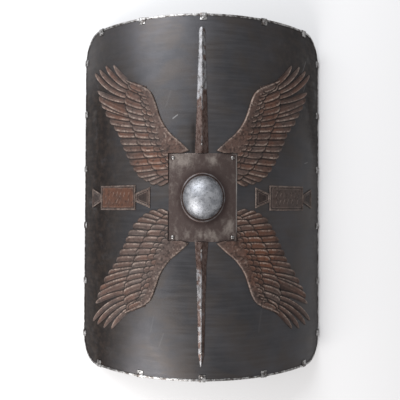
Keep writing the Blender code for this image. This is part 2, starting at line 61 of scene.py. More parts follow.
# Edge binding and straps
RIM_WALL = 1.2
RIM_LIP = 4.0
RIM_SKIN = GAP + RIM_WALL
RIM_CORNER_STEPS = 22
RIM_PITCH = 7.0
CLIP_WALL = 1.3
CLIP_LEG = 10.5
CLIP_WIDTH = 17.0
CLIP_HEAD_RADIUS = 3.8
CLIP_HEAD_RISE = 1.5
END_CLIP_INSET = 88.0
END_CLIP_SHARES = (-1.0, -0.53, 0.0, 0.53, 1.0)
SIDE_CLIP_INSET = 73.5
SIDE_CLIP_SHARES = (1.0, 0.612, 0.207, -0.207, -0.612, -1.0)

# Boss and plate
CENTRE_Y = -3.5
PLATE_HALF_WIDTH = 88.3
PLATE_HALF_LENGTH = 113.3
PLATE_THICKNESS = 1.3
PLATE_TOP = GAP + PLATE_THICKNESS
PLATE_CORNER = 2.5
PLATE_STEP = 1.6
PLATE_RIVET_INSET = 11.3
PLATE_RIVET_RADIUS = 5.2
PLATE_RIVET_RISE = 3.0
DOME_HALF_WIDTH = 50.5
DOME_HALF_LENGTH = 55.5
DOME_RISE = 43.0
DOME_WALL = 1.3
DOME_RINGS = 22
DOME_SIDES = 84
COLLAR_WIDTH = 7.8
COLLAR_THICKNESS = 1.4
HOLE_LEDGE = 0.8
HAND_HOLE_LEDGE = 1.0
RIVET_SIDES = 28

# Wings, upper right quarter, from the middle of the plate
WING_STEP = 1.15
WING_START = 28.0
WING_REACH_S = 350.0
WING_REACH_Y = 376.0
WING_CLEARANCE = 1.0
LOWER_WING_SHARE = 0.975
SECONDARY_TIPS = [
    (120, 36), (142, 41), (160, 50), (176, 63), (190, 80), (202, 98), (213, 117),
    (222, 136), (231, 155), (242, 175), (256, 195), (272, 215), (289, 238), (306, 264), (318, 285),
]
PRIMARIES = [
    ((196, 256), (266, 266), (328, 302)),
    ((196, 268), (272, 284), (341, 355)),
    ((194, 280), (262, 298), (319, 361)),
    ((192, 290), (246, 308), (290, 367)),
    ((190, 298), (228, 318), (259, 364)),
]
COVERT_LINE = [
    (86, 50), (112, 62), (131, 80), (148, 101), (162, 123), (174, 146), (184, 170),
    (193, 195), (203, 221), (213, 247), (216, 275), (206, 304),
]
SCALE_LINE = [
    (84, 74), (96, 84), (112, 104), (126, 126), (138, 149), (147, 173),
    (154, 198), (159, 223), (163, 248), (168, 274), (186, 296),
]
BODY_LINE = [
    (86, 104), (100, 122), (110, 142), (119, 166), (128, 194),
    (137, 222), (146, 250), (158, 274), (178, 292), (208, 308),
]
LEADING_EDGE = [
    (34, 120), (60, 145), (80, 162), (97, 183), (110, 206), (119, 232),
    (128, 258), (139, 277), (157, 290), (185, 302), (216, 317),
]
# Degrees that a feather leans from straight outwards, by its tip's place along the length
FEATHER_LEAN_AT = (40, 55, 75, 110, 150, 190, 230, 270, 310)
FEATHER_LEAN = (-27, -14, -6, -2, 2, 7, 14, 21, 27)

# Rows of feathers, with the form that all the feathers of a row share
Row = namedtuple(
    "Row", "level tilt crown bead bead_in quill half inner_round outer_round bow tuck fade"
)
SECONDARY = Row(1.7, 1.1, 0.35, 0.8, 2.9, 0.35, 12.5, 13.0, 24.0, 0.05, 20.0, 16.0)
PRIMARY = Row(1.8, 0.8, 0.4, 1.0, 2.2, 0.2, 7.2, 30.0, 44.0, 0.0, 20.0, 4.0)
COVERT = Row(2.9, 1.1, 0.35, 0.8, 2.8, 0.25, 12.5, 15.0, 22.0, 0.09, 18.0, 9.0)
SCALE = Row(3.9, 0.6, 0.3, 0.45, 1.8, 0.15, 9.5, 11.0, 12.0, 0.08, 7.0, 4.0)
INNER_SCALE = SCALE._replace(level=4.2, half=8.5)


# Bending
def bend(points):
    s, y, h = np.asarray(points, float).T
    turn = s / BEND_RADIUS
    reach = BEND_RADIUS + h
    return np.stack([reach * np.sin(turn), y, reach * np.cos(turn) - BEND_AXIS], 1) * MM


# Materials
class Paint:
    """A material under construction: each call adds a node and gives back what it puts out"""

    def __init__(self, name, metallic):
        self.material = bpy.data.materials.new(name)
        self.material.use_nodes = True
        self.tree = self.material.node_tree
        self.shader = self.tree.nodes["Principled BSDF"]
        self.shader.inputs["Metallic"].default_value = metallic

    def feed(self, socket, value):
        if isinstance(value, bpy.types.NodeSocket):
            self.tree.links.new(value, socket)
        elif isinstance(value, tuple) and socket.type == "RGBA":
            socket.default_value = (*value, 1.0)
        else:
            socket.default_value = value

    def node(self, kind, inputs, output=0, **settings):
        node = self.tree.nodes.new(kind)
        for key, value in settings.items():
            setattr(node, key, value)
        for key, value in inputs.items():
            self.feed(node.inputs[key], value)
        return node.outputs[output]

    def number(self, name):
        return self.node("ShaderNodeAttribute", {}, "Fac", attribute_name=name)

    def place(self, stretch=(1.0, 1.0, 1.0)):
        flat = self.node("ShaderNodeAttribute", {}, "Vector", attribute_name="flat")
        return self.node("ShaderNodeVectorMath", {0: flat, 1: stretch}, operation="MULTIPLY")

    def noise(self, size, detail=3.0, rough=0.5, stretch=(1.0, 1.0, 1.0), twist=0.0):
        # Size is the width of a patch in millimetres
        return self.node(
            "ShaderNodeTexNoise",
            {"Vector": self.place(stretch), "Scale": 1000.0 / size, "Detail": detail,
             "Roughness": rough, "Distortion": twist},
        )

    def math(self, operation, a, b):
        return self.node("ShaderNodeMath", {0: a, 1: b}, operation=operation)

    def spread(self, value, low, high, to_low=0.0, to_high=1.0):
        return self.node(
            "ShaderNodeMapRange",
            {"Value": value, "From Min": low, "From Max": high, "To Min": to_low, "To Max": to_high},
            interpolation_type="SMOOTHSTEP",
        )

    def line(self, s_a, y_a, s_b, y_b, width, strength):
        """A straight mark between two places on the outer face, in millimetres"""
        flat = self.place((1.0, 1.0, 0.0))
        start = (s_a * MM, y_a * MM, 0.0)
        step = ((s_b - s_a) * MM, (y_b - y_a) * MM, 0.0)
        past = self.node("ShaderNodeVectorMath", {0: flat, 1: start}, operation="SUBTRACT")
        along = self.node("ShaderNodeVectorMath", {0: past, 1: step}, 1, operation="DOT_PRODUCT")
        share = self.node(
            "ShaderNodeMath", {0: along, 1: 1.0 / (step[0] ** 2 + step[1] ** 2)},
            operation="MULTIPLY", use_clamp=True,
        )
        reached = self.node("ShaderNodeVectorMath", {0: step, "Scale": share}, operation="SCALE")
        away = self.node("ShaderNodeVectorMath", {0: past, 1: reached}, 1, operation="DISTANCE")
        return self.spread(away, 0.0, 1.5 * width * MM, strength, 0.0)

    def mix(self, share, a, b):
        # The node's sockets for colours are numbers 6 and 7, and its colour comes out at 2
        node = self.tree.nodes.new("ShaderNodeMix")
        node.data_type = "RGBA"
        for key, value in ((0, share), (6, a), (7, b)):
            self.feed(node.inputs[key], value)
        return node.outputs[2]

    def bump(self, height, depth):
        normal = self.node(
            "ShaderNodeBump", {"Height": height, "Distance": depth * MM, "Strength": 1.0}
        )
        self.feed(self.shader.inputs["Normal"], normal)

    def finish(self, colour, roughness):
        self.feed(self.shader.inputs["Base Color"], colour)
        self.feed(self.shader.inputs["Roughness"], roughness)
        return self.material


def board_paint():
    paint = Paint("blackened_steel", 0.85)
    cloud = paint.noise(170.0, 4.0, 0.6)
    streak = paint.noise(9.0, 4.0, 0.65, (0.07, 1.0, 1.0))
    patch = paint.noise(45.0, 5.0, 0.62)
    margin = paint.number("margin")
    tint = paint.noise(80.0, 4.0, 0.6, (0.7, 1.0, 1.0), 0.5)
    colour = paint.mix(paint.spread(cloud, 0.3, 0.7), (0.043, 0.043, 0.046), (0.066, 0.064, 0.068))
    colour = paint.mix(paint.spread(tint, 0.38, 0.66, 0.0, 0.6), colour, (0.062, 0.052, 0.045))
    colour = paint.mix(paint.spread(streak, 0.35, 0.8, 0.0, 0.2), colour, (0.10, 0.10, 0.106))
    # Dark brown, duller and less metallic where the patina lies and where painted shade darkens the right
    # edge and the upper right quarter.
    dark_patina_and_shade = paint.math("MULTIPLY", margin, paint.spread(patch, 0.15, 0.5, 0.5, 1.0))
    blotch = paint.spread(paint.noise(19.0, 4.0, 0.65), 0.4, 0.65)
    dark_patch = paint.mix(blotch, (0.0065, 0.0042, 0.0034), (0.018, 0.012, 0.009))
    colour = paint.mix(dark_patina_and_shade, colour, dark_patch)
    paint.feed(paint.shader.inputs["Metallic"], paint.spread(dark_patina_and_shade, 0.0, 1.0, 0.85, 0.25))
    paint.feed(paint.shader.inputs["Specular IOR Level"], paint.spread(dark_patina_and_shade, 0.0, 1.0, 0.5, 0.08))
    for scratch in SCRATCHES:
        colour = paint.mix(paint.line(*scratch), colour, (0.42, 0.42, 0.42))
    rough = paint.spread(paint.math("ADD", streak, paint.math("MULTIPLY", patch, 0.3)), 0.4, 0.9, 0.38, 0.5)
    paint.bump(paint.math("ADD", paint.math("MULTIPLY", streak, 0.3), paint.noise(2.2, 3.0, 0.6)), 0.05)
    return paint.finish(colour, rough)


def wing_paint():
    paint = Paint("rusted_relief", 0.25)
    paint.feed(paint.shader.inputs["Specular IOR Level"], 0.3)
    wear = paint.number("wear")
    tone = paint.number("tone")
    deep = paint.number("deep")
    grain = paint.noise(5.0, 5.0, 0.7)
    patch = paint.noise(55.0, 4.0, 0.6)
    colour = paint.mix(paint.spread(patch, 0.3, 0.7), (0.052, 0.030, 0.023), (0.088, 0.038, 0.023))
    colour = paint.mix(paint.spread(tone, -2.4, -0.9, 0.85, 0.0), colour, (0.105, 0.041, 0.021))
    colour = paint.mix(paint.spread(tone, -1.0, 1.2, 0.0, 0.75), colour, (0.066, 0.053, 0.048))
    mottle = paint.noise(9.0, 4.0, 0.65)
    colour = paint.mix(paint.spread(mottle, 0.48, 0.7, 0.0, 0.75), colour, (0.016, 0.010, 0.008))
    rubbed = paint.math("MULTIPLY", wear, paint.spread(grain, 0.34, 0.6))
    rubbed = paint.math("MULTIPLY", rubbed, paint.spread(paint.noise(16.0, 3.0), 0.3, 0.62, 0.2, 1.0))
    colour = paint.mix(rubbed, colour, (0.28, 0.22, 0.185))
    # Near black where the arm's pits are and where painted shade lies under feather edges and in recesses.
    colour = paint.mix(deep, colour, (0.006, 0.004, 0.0035))
    paint.bump(paint.math("ADD", grain, paint.noise(1.6, 3.0, 0.6)), 0.14)
    return paint.finish(colour, paint.spread(grain, 0.3, 0.7, 0.46, 0.66))


def plate_paint():
    paint = Paint("worn_plate", 0.5)
    pale = paint.number("pale")
    patch = paint.noise(13.0, 5.0, 0.66, (1.0, 0.75, 1.0), 0.3)
    grain = paint.noise(4.0, 4.0, 0.65)
    light = paint.math("ADD", pale, paint.spread(patch, 0.3, 0.7, -0.3, 0.3))
    colour = paint.mix(paint.spread(light, 0.0, 1.1), (0.050, 0.034, 0.030), (0.185, 0.158, 0.14))
    colour = paint.mix(paint.spread(grain, 0.45, 0.75, 0.0, 0.5), colour, (0.028, 0.020, 0.018))
    colour = paint.mix(paint.number("ring"), colour, (0.026, 0.014, 0.012))
    # Pale metal where the painted highlight along the plate's right edge lies.
    colour = paint.mix(paint.number("wear"), colour, (0.30, 0.28, 0.265))
    paint.bump(paint.math("ADD", patch, grain), 0.2)
    return paint.finish(colour, paint.spread(grain, 0.3, 0.7, 0.4, 0.58))


def boss_paint():
    paint = Paint("polished_boss", 1.0)
    dome = paint.number("dome")
    speck = paint.noise(4.2, 3.0, 0.6)
    cloud = paint.noise(16.0, 4.0, 0.6)
    colour = paint.mix(paint.spread(cloud, 0.35, 0.65), (0.23, 0.237, 0.255), (0.37, 0.378, 0.395))
    colour = paint.mix(paint.spread(speck, 0.56, 0.68, 0.0, 0.8), colour, (0.08, 0.085, 0.08))
    colour = paint.mix(dome, (0.055, 0.036, 0.030), colour)
    paint.bump(paint.math("ADD", speck, paint.math("MULTIPLY", cloud, 2.0)), 0.35)
    return paint.finish(colour, paint.spread(cloud, 0.3, 0.7, 0.48, 0.58))


def spine_paint():
    paint = Paint("worn_spine", 0.9)
    bright = paint.number("wear")
    grain = paint.noise(6.0, 5.0, 0.7, (1.0, 0.4, 1.0))
    rust = paint.mix(paint.spread(grain, 0.35, 0.65), (0.045, 0.027, 0.022), (0.105, 0.078, 0.069))
    silver = paint.mix(paint.spread(grain, 0.3, 0.65), (0.06, 0.057, 0.056), (0.225, 0.223, 0.23))
    # Silver where the spine is worn and where its left facet carries painted light; rust elsewhere.
    shade = paint.math("ADD", bright, paint.spread(paint.noise(14.0, 4.0), 0.3, 0.7, -0.3, 0.3))
    colour = paint.mix(paint.spread(shade, 0.3, 0.7), rust, silver)
    paint.bump(grain, 0.2)
    return paint.finish(colour, paint.spread(grain, 0.3, 0.7, 0.34, 0.5))


def edge_paint():
    paint = Paint("bright_edge", 1.0)
    grain = paint.noise(7.0, 5.0, 0.7)
    dark_patch = paint.noise(15.0, 4.0, 0.65)
    colour = paint.mix(paint.spread(grain, 0.35, 0.62), (0.11, 0.105, 0.10), (0.46, 0.455, 0.45))
    colour = paint.mix(paint.spread(dark_patch, 0.44, 0.62, 0.0, 0.8), colour, (0.045, 0.033, 0.028))
    paint.bump(grain, 0.3)
    return paint.finish(colour, paint.spread(grain, 0.3, 0.7, 0.28, 0.48))


def rivet_paint():
    paint = Paint("bright_rivet", 1.0)
    grain = paint.noise(2.6, 3.0, 0.6)
    colour = paint.mix(paint.spread(grain, 0.4, 0.65), (0.09, 0.08, 0.074), (0.34, 0.33, 0.32))
    paint.bump(grain, 0.15)
    return paint.finish(colour, paint.spread(grain, 0.3, 0.7, 0.26, 0.42))


def grip_paint():
    paint = Paint("plain_grip_steel", 0.8)
    grain = paint.noise(4.0, 4.0, 0.65, (0.25, 1.0, 1.0))
    colour = paint.mix(paint.spread(grain, 0.3, 0.7), (0.06, 0.06, 0.062), (0.13, 0.12, 0.115))
    paint.bump(grain, 0.15)
    return paint.finish(colour, paint.spread(grain, 0.3, 0.7, 0.38, 0.55))


def floor_paint():
    paint = Paint("pale_floor", 0.0)
    grain = paint.noise(300.0, 2.0)
    return paint.finish(paint.mix(grain, (0.65, 0.65, 0.65), (0.67, 0.67, 0.67)), 0.8)


# Numbers
def smooth_step(value, low, high):
    t = np.clip((value - low) / (high - low), 0.0, 1.0)
    return t * t * (3.0 - 2.0 * t)


def bell(value, width):
    """1 where value is 0, falling away smoothly on both sides"""
    return np.exp(-((value / width) ** 2))


def bumps(x, y, size, seed):
    """Soft random heights from -1 to 1, about size millimetres apart"""
    table = np.random.default_rng(seed).uniform(-1.0, 1.0, (64, 64))
    u, v = np.asarray(x) / size, np.asarray(y) / size
    i, j = np.floor(u).astype(int), np.floor(v).astype(int)
    f, g = smooth_step(u - i, 0.0, 1.0), smooth_step(v - j, 0.0, 1.0)
    low = table[i % 64, j % 64] * (1.0 - f) + table[(i + 1) % 64, j % 64] * f
    high = table[i % 64, (j + 1) % 64] * (1.0 - f) + table[(i + 1) % 64, (j + 1) % 64] * f
    return low * (1.0 - g) + high * g


def blurred(values, width):
    reach = int(3 * width)
    weights = np.exp(-0.5 * (np.arange(-reach, reach + 1) / width) ** 2)
    weights /= weights.sum()
    for axis in (0, 1):
        values = np.apply_along_axis(np.convolve, axis, values, weights, "same")
    return values


def sample(values, u, v):
    """The grid's value between its points, u across and v up, counted in grid steps"""
    i = np.clip(np.floor(u).astype(int), 0, values.shape[1] - 2)
    j = np.clip(np.floor(v).astype(int), 0, values.shape[0] - 2)
    f, g = np.clip(u - i, 0.0, 1.0), np.clip(v - j, 0.0, 1.0)
    low = values[j, i] * (1.0 - f) + values[j, i + 1] * f
    high = values[j + 1, i] * (1.0 - f) + values[j + 1, i + 1] * f
    return low * (1.0 - g) + high * g


# Pieces
def add_piece(name, points, faces, material, values=None, smooth=50.0):
    """Faces that meet at more than smooth degrees keep a sharp edge"""
    mesh = bpy.data.meshes.new(name)
    points = np.asarray(points, float)
    mesh.from_pydata(bend(points).tolist(), [], faces)
    flat = mesh.attributes.new("flat", "FLOAT_VECTOR", "POINT")
    flat.data.foreach_set("vector", (points * MM).astype(np.float32).ravel())
    for key, value in (values or {}).items():
        numbers = mesh.attributes.new(key, "FLOAT", "POINT")
        numbers.data.foreach_set("value", np.asarray(value, np.float32))
    mesh.materials.append(material)
    mesh.shade_smooth()
    mesh.set_sharp_from_angle(angle=math.radians(smooth))
    piece = bpy.data.objects.new(name, mesh)
    bpy.context.scene.collection.objects.link(piece)
    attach(piece, "root")
    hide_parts(name.removesuffix("_finish"))


def relief(s, y, inside, top, low):
    """A closed plate from a grid: inside is positive within its outline, top and low are heights"""
    keep = inside > 0.0
    ring = np.zeros_like(keep)
    ring[1:-1, 1:-1] = True
    near = np.zeros_like(keep)
    for dj in (-1, 0, 1):
        for di in (-1, 0, 1):
            near |= np.roll(keep, (dj, di), (0, 1))
    ring &= near & ~keep
    used = keep | ring
    J, I = np.nonzero(used)
    index = np.full(keep.shape, -1)
    index[J, I] = np.arange(len(J))
    u, v = I.astype(float), J.astype(float)
    slope_v, slope_u = np.gradient(inside)
    outer = ring[J, I]
    # The outermost points move onto the outline, by at most 0.7 of a grid step each time
    for _ in range(4):
        f = sample(inside, u, v)
        gu, gv = sample(slope_u, u, v), sample(slope_v, u, v)
        step = f / np.maximum(gu * gu + gv * gv, 1e-9)
        step = np.clip(step * np.hypot(gu, gv), -0.7, 0.7) / np.maximum(np.hypot(gu, gv), 1e-9)
        u = np.where(outer, u - step * gu, u)
        v = np.where(outer, v - step * gv, v)
    S = np.interp(u, np.arange(len(s)), s)
    Y = np.interp(v, np.arange(len(y)), y)
    upper = np.stack([S, Y, sample(top, u, v)], 1)
    lower = np.stack([S, Y, sample(low, u, v)], 1)
    full = used[:-1, :-1] & used[1:, :-1] & used[:-1, 1:] & used[1:, 1:]
    full &= keep[:-1, :-1] | keep[1:, :-1] | keep[:-1, 1:] | keep[1:, 1:]
    j, i = np.nonzero(full)
    cells = np.stack([index[j, i], index[j, i + 1], index[j + 1, i + 1], index[j + 1, i]], 1)
    n = len(J)
    edges = np.concatenate([cells[:, [a, (a + 1) % 4]] for a in range(4)])
    codes = edges[:, 0] * n + edges[:, 1]
    lone = ~np.isin(codes, edges[:, 1] * n + edges[:, 0])
    a, b = edges[lone].T
    walls = np.stack([b, a, a + n, b + n], 1)
    faces = np.concatenate([cells, cells[:, ::-1] + n, walls])
    taken = np.zeros(2 * n, bool)
    taken[faces.ravel()] = True
    places = np.cumsum(taken) - 1
    return np.concatenate([upper, lower])[taken], places[faces].tolist(), (u, v, taken)


def carried(found, **grids):
    """Each grid's numbers at the points of the relief made on it"""
    u, v, taken = found
    return {key: np.tile(sample(grid, u, v), 2)[taken] for key, grid in grids.items()}


def skin(sections, closed):
    """Faces from each section to the next, with caps unless it closes on itself"""
    k, m = len(sections), len(sections[0])
    faces = []
    for i in range(k if closed else k - 1):
        j = (i + 1) % k
        for a in range(m):
            b = (a + 1) % m
            faces.append((i * m + a, i * m + b, j * m + b, j * m + a))
    if not closed:
        faces.append(tuple(range(m - 1, -1, -1)))
        faces.append(tuple(range((k - 1) * m, k * m)))
    return np.concatenate(sections), faces


def turned(profile, steps, centre, stretch=1.0):
    """A closed solid from radii and heights, listed from the axis down the outer side and back"""
    points = [(centre[0], centre[1], profile[0][1])]
    for r, h in profile[1:-1]:
        for i in range(steps):
            angle = 2.0 * math.pi * i / steps
            points.append((centre[0] + r * math.cos(angle), centre[1] + stretch * r * math.sin(angle), h))
    points.append((centre[0], centre[1], profile[-1][1]))
    faces = []
    last = len(points) - 1
    rings = len(profile) - 2
    for i in range(steps):
        j = (i + 1) % steps
        faces.append((0, 1 + i, 1 + j))
        for k in range(rings - 1):
            a, b = 1 + k * steps, 1 + (k + 1) * steps
            faces.append((a + i, b + i, b + j, a + j))
        a = 1 + (rings - 1) * steps
        faces.append((a + j, a + i, last))
    return np.array(points), faces


# Board
def outline(corner_steps, pitch):
    """Stations round the board's edge, each a place and the direction outwards"""
    corners = (
        (1, 1, TOP_CORNER, 0), (-1, 1, TOP_CORNER, 90),
        (-1, -1, BOTTOM_CORNER, 180), (1, -1, BOTTOM_CORNER, 270),
    )
    turns = []
    for sx, sy, radius, start in corners:
        centre = np.array((sx * (HALF_ARC - radius), sy * (HALF_LENGTH - radius)))
        for i in range(corner_steps + 1):
            angle = math.radians(start + 90.0 * i / corner_steps)
            out = np.array((math.cos(angle), math.sin(angle)))
            turns.append((centre + radius * out, out))
    stations = []
    for (place, out), (onward, _) in zip(turns, turns[1:] + turns[:1]):
        count = max(1, int(np.hypot(*(onward - place)) / pitch))
        stations += [(place + (onward - place) * k / count, out) for k in range(count)]
    return stations


def round_box_inside(S, Y, half_s, half_y, radius):
    """Distance inwards from the outline of a box with round corners"""
    a = np.abs(S) - (half_s - radius)
    b = np.abs(Y) - (half_y - radius)
    corner = np.hypot(np.maximum(a, 0.0), np.maximum(b, 0.0)) + np.minimum(np.maximum(a, b), 0.0)
    return radius - corner


def spots(S, Y, places):
    total = np.zeros_like(S)
    for s, y, half_s, half_y, strength in places:
        total += strength * np.exp(-(((S - s) / half_s) ** 2) - ((Y - y) / half_y) ** 2)
    return total


def boss_distance(S, Y, grow):
    """Distance outwards from the dome's foot, when that is made wider by grow all round"""
    half_s, half_y = DOME_HALF_WIDTH + grow, DOME_HALF_LENGTH + grow
    reach = np.hypot(S / half_s, (Y - CENTRE_Y) / half_y)
    return (reach - 1.0) * 0.5 * (half_s + half_y)


# Scratches on the board: both ends, width and strength of each
SCRATCHES = [
    (-78, 200, -66, 209, 1.4, 0.4), (-98, 230, -84, 272, 2.0, 0.025),
    (318, 96, 332, 100, 1.4, 0.2), (296, 330, 324, 386, 1.6, 0.14),
    (312, 300, 330, 336, 1.5, 0.1), (-136, -352, -128, -312, 1.8, 0.03),
    (-112, -386, -100, -352, 1.8, 0.035), (150, -352, 158, -296, 2.4, 0.03),
    (280, -345, 306, -330, 1.6, 0.1),
]


def add_board(paint):
    reach_s, reach_y = HALF_ARC + 8.0, HALF_LENGTH + 8.0
    s = np.linspace(-reach_s, reach_s, 171)
    y = np.linspace(-reach_y, reach_y, 199)
    S, Y = np.meshgrid(s, y)
    corner = np.where(Y > 0.0, TOP_CORNER, BOTTOM_CORNER)
    hole = boss_distance(S, Y, -DOME_WALL - HOLE_LEDGE - HAND_HOLE_LEDGE)
    inside = np.minimum(round_box_inside(S, Y, HALF_ARC, HALF_LENGTH, corner), hole)
    dent = 0.1 * bumps(S, Y, 70.0, 3) + 0.03 * bumps(S, Y, 24.0, 4)
    points, faces, found = relief(s, y, inside, dent, BACK + dent)
    # Brown patina on the left margin and beside the upper spine, and painted shade: the right edge and the
    # upper right quarter are darkened with the same brown to stand for the shade there.
    margin = smooth_step(-S, 130.0, 330.0) + 0.7 * smooth_step(S, 300.0, 390.0)
    margin *= 1.0 - 0.45 * smooth_step(Y, 250.0, 420.0)
    margin += 0.75 * smooth_step(S, 60.0, 300.0) * smooth_step(Y, 40.0, 300.0)
    beside_spine = 0.8 * bell(S + 24.0, 11.0)
    margin += beside_spine * smooth_step(230.0 - Y, 0.0, 60.0) * smooth_step(Y, 80.0, 100.0)
    values = carried(found, margin=np.clip(margin, 0.0, 1.0))
    add_piece("board_finish", points, faces, paint, values, smooth=35.0)


def add_rim(paint):
    face, back = RIM_SKIN, BACK - RIM_SKIN
    inner_face, inner_back = GAP, BACK - GAP
    sections = []
    for place, out in outline(RIM_CORNER_STEPS, RIM_PITCH):
        lip = RIM_LIP + 0.5 * float(bumps(place[0], place[1], 17.0, 11))
        lift = 0.1 * float(bumps(place[0], place[1], 9.0, 12))
        section = [
            (-lip, inner_face), (-lip - 0.1, 0.5 * (face + inner_face)), (-lip + 0.4, face + lift - 0.15),
            (-0.5 * lip, face + lift + 0.02), (-0.2, face - 0.02), (0.8, face - 0.35),
            (RIM_SKIN, 0.3), (RIM_SKIN, BACK - 0.3), (0.8, back + 0.35), (-0.2, back),
            (-lip + 0.4, back + 0.1), (-lip - 0.1, 0.5 * (back + inner_back)), (-lip, inner_back),
            (GAP, inner_back), (GAP, inner_face),
        ]
        sections.append(np.array([(*(place + n * out), h) for n, h in section]))
    points, faces = skin(sections, True)
    add_piece("rim_finish", points, faces, paint)


def edge_place(side, sign, distance):
    radius = TOP_CORNER if (sign if side == "end" else distance) > 0 else BOTTOM_CORNER
    half = HALF_ARC if side == "end" else HALF_LENGTH
    straight = min(abs(distance), half - radius)
    turn = (abs(distance) - straight) / radius
    along = math.copysign(straight + radius * math.sin(turn), distance)
    fall = radius * (1.0 - math.cos(turn))
    if side == "end":
        place = np.array((along, sign * (HALF_LENGTH - fall)))
        return place, np.array((math.copysign(math.sin(turn), distance), sign * math.cos(turn)))
    place = np.array((sign * (HALF_ARC - fall), along))
    return place, np.array((sign * math.cos(turn), math.copysign(math.sin(turn), distance)))


def strap_line(offset):
    """The strap's side view at a depth under its outer skin: distance out from the edge, height"""
    leg_face = GAP + CLIP_WALL - offset
    skin_face = nose = RIM_SKIN + GAP + CLIP_WALL - offset
    end = -(RIM_LIP + GAP + CLIP_LEG)
    shoulder = -(RIM_LIP + GAP + CLIP_WALL) + offset
    face = [
        (end, leg_face), (shoulder - 3.0, leg_face), (shoulder - 1.2, leg_face + 0.25),
        (shoulder - 0.2, skin_face - 0.3), (shoulder + 0.9, skin_face),
        (nose - 1.6, skin_face), (nose - 0.5, skin_face - 0.5), (nose, skin_face - 1.6),
    ]
    return face + [(n, BACK - h) for n, h in reversed(face)]


def add_clip(name, place, out, paint, seed):
    outer, inner = strap_line(0.0), strap_line(CLIP_WALL)
    across = np.array((-out[1], out[0]))
    shares = (-1.0, -0.94, -0.8, -0.4, 0.0, 0.4, 0.8, 0.94, 1.0)
    rng = np.random.default_rng(seed)
    skew = rng.uniform(-0.25, 0.25)
    sections = []
    for share in shares:
        swell = 0.12 * math.cos(math.pi * share) - 0.35 * smooth_step(abs(share), 0.85, 1.0)
        turn = 0.5 * (skew * share - abs(skew))
        section = []
        for line, lift in ((outer, swell), (inner[::-1], 0.0)):
            for n, h in line:
                spot = place + (n + turn) * out + share * 0.5 * CLIP_WIDTH * across
                section.append((*spot, h + lift if h > BACK * 0.5 else h - lift))
        sections.append(np.array(section))
    points, faces = skin(sections, False)
    inward = RIM_LIP + GAP + 0.5 * (CLIP_WALL + CLIP_LEG)
    centre = place - inward * out
    profile = dome_profile(CLIP_HEAD_RADIUS, CLIP_HEAD_RISE, GAP + CLIP_WALL - 0.2)
    head, head_faces = turned(profile, 20, centre)
    faces = [tuple(face[::-1]) for face in faces]
    faces += [tuple(int(v) + len(points) for v in face) for face in head_faces]
    points = np.concatenate([points, head])
    level = floor_height(points)
    points[:, 2] = np.where(bend(points)[:, 2] < 0.0, level, points[:, 2])
    add_piece(name + "_finish", points, faces, paint, smooth=40.0)


def floor_height(points):
    """The height at which a bent point would lie on the floor"""
    return BEND_AXIS / np.cos(points[:, 0] / BEND_RADIUS) - BEND_RADIUS


def add_clips(paint):
    ends = ("far_left", "left", "middle", "right", "far_right"), END_CLIP_SHARES, HALF_ARC - END_CLIP_INSET
    sides = "abcdef", SIDE_CLIP_SHARES, HALF_LENGTH - SIDE_CLIP_INSET
    runs = (
        ("end", "top", 1, ends), ("end", "bottom", -1, ends),
        ("side", "left", -1, sides), ("side", "right", 1, sides),
    )
    seed = 100
    for kind, edge, sign, (names, shares, reach) in runs:
        for name, share in zip(names, shares):
            place, out = edge_place(kind, sign, share * reach)
            add_clip("clip_" + edge + "_" + name, place, out, paint, seed)
            seed += 1


# Boss and plate, with its paler places: middle, half widths and strength of each
PLATE_SPOTS = [
    (-52, 96, 34, 20, 0.85), (24, 97, 14, 16, 0.85), (-76, 40, 16, 50, 0.3), (-60, -88, 30, 26, 0.25),
    (14, -98, 32, 16, 0.75), (68, -76, 17, 22, 0.8), (74, 60, 12, 30, 0.15),
]


def dome_profile(radius, rise, base):
    profile = []
    for i in range(8):
        angle = 0.5 * math.pi * i / 7
        profile.append((radius * math.sin(angle), base + 0.15 * rise + 0.85 * rise * math.cos(angle)))
    return profile + [(radius, base), (0.0, base)]


def add_plate(paint):
    reach_s, reach_y = PLATE_HALF_WIDTH + 3.0, PLATE_HALF_LENGTH + 3.0
    s = np.arange(-reach_s, reach_s + 0.1, PLATE_STEP)
    y = np.arange(CENTRE_Y - reach_y, CENTRE_Y + reach_y + 0.1, PLATE_STEP)
    S, Y = np.meshgrid(s, y)
    edge = round_box_inside(S, Y - CENTRE_Y, PLATE_HALF_WIDTH, PLATE_HALF_LENGTH, PLATE_CORNER)
    edge += 0.3 * bumps(S, Y, 14.0, 21)
    hole = boss_distance(S, Y, -DOME_WALL - HOLE_LEDGE)
    away = boss_distance(S, Y, COLLAR_WIDTH)
    top = PLATE_TOP + 0.12 * bumps(S, Y, 9.0, 22) + 0.12 * bumps(S, Y, 31.0, 23)
    top = np.where(away < 3.0, np.minimum(top, PLATE_TOP), top) - 0.8 * smooth_step(-edge, -1.8, 0.0)
    low = np.full_like(S, GAP)
    points, faces, found = relief(s, y, np.minimum(edge, hole), top, low)
    ring = smooth_step(-away, -15.0, -2.0) * (0.8 + 0.2 * bumps(S, Y, 18.0, 24))
    # Painted highlight: a pale band along the plate's right edge, broken into patches.
    wear = smooth_step(-edge, -3.0, -1.2) * smooth_step(bumps(S, Y, 26.0, 25), -0.3, 0.5)
    wear *= smooth_step(S, 70.0, 86.0)
    streaks = 0.35 * bumps(S, 0.15 * Y, 6.0, 26) * smooth_step(CENTRE_Y - Y, 75.0, 95.0)
    pale = spots(S, Y - CENTRE_Y, PLATE_SPOTS) + streaks
    values = carried(found, ring=ring, wear=wear, pale=pale)
    add_piece("boss_plate_finish", points, faces, paint, values)


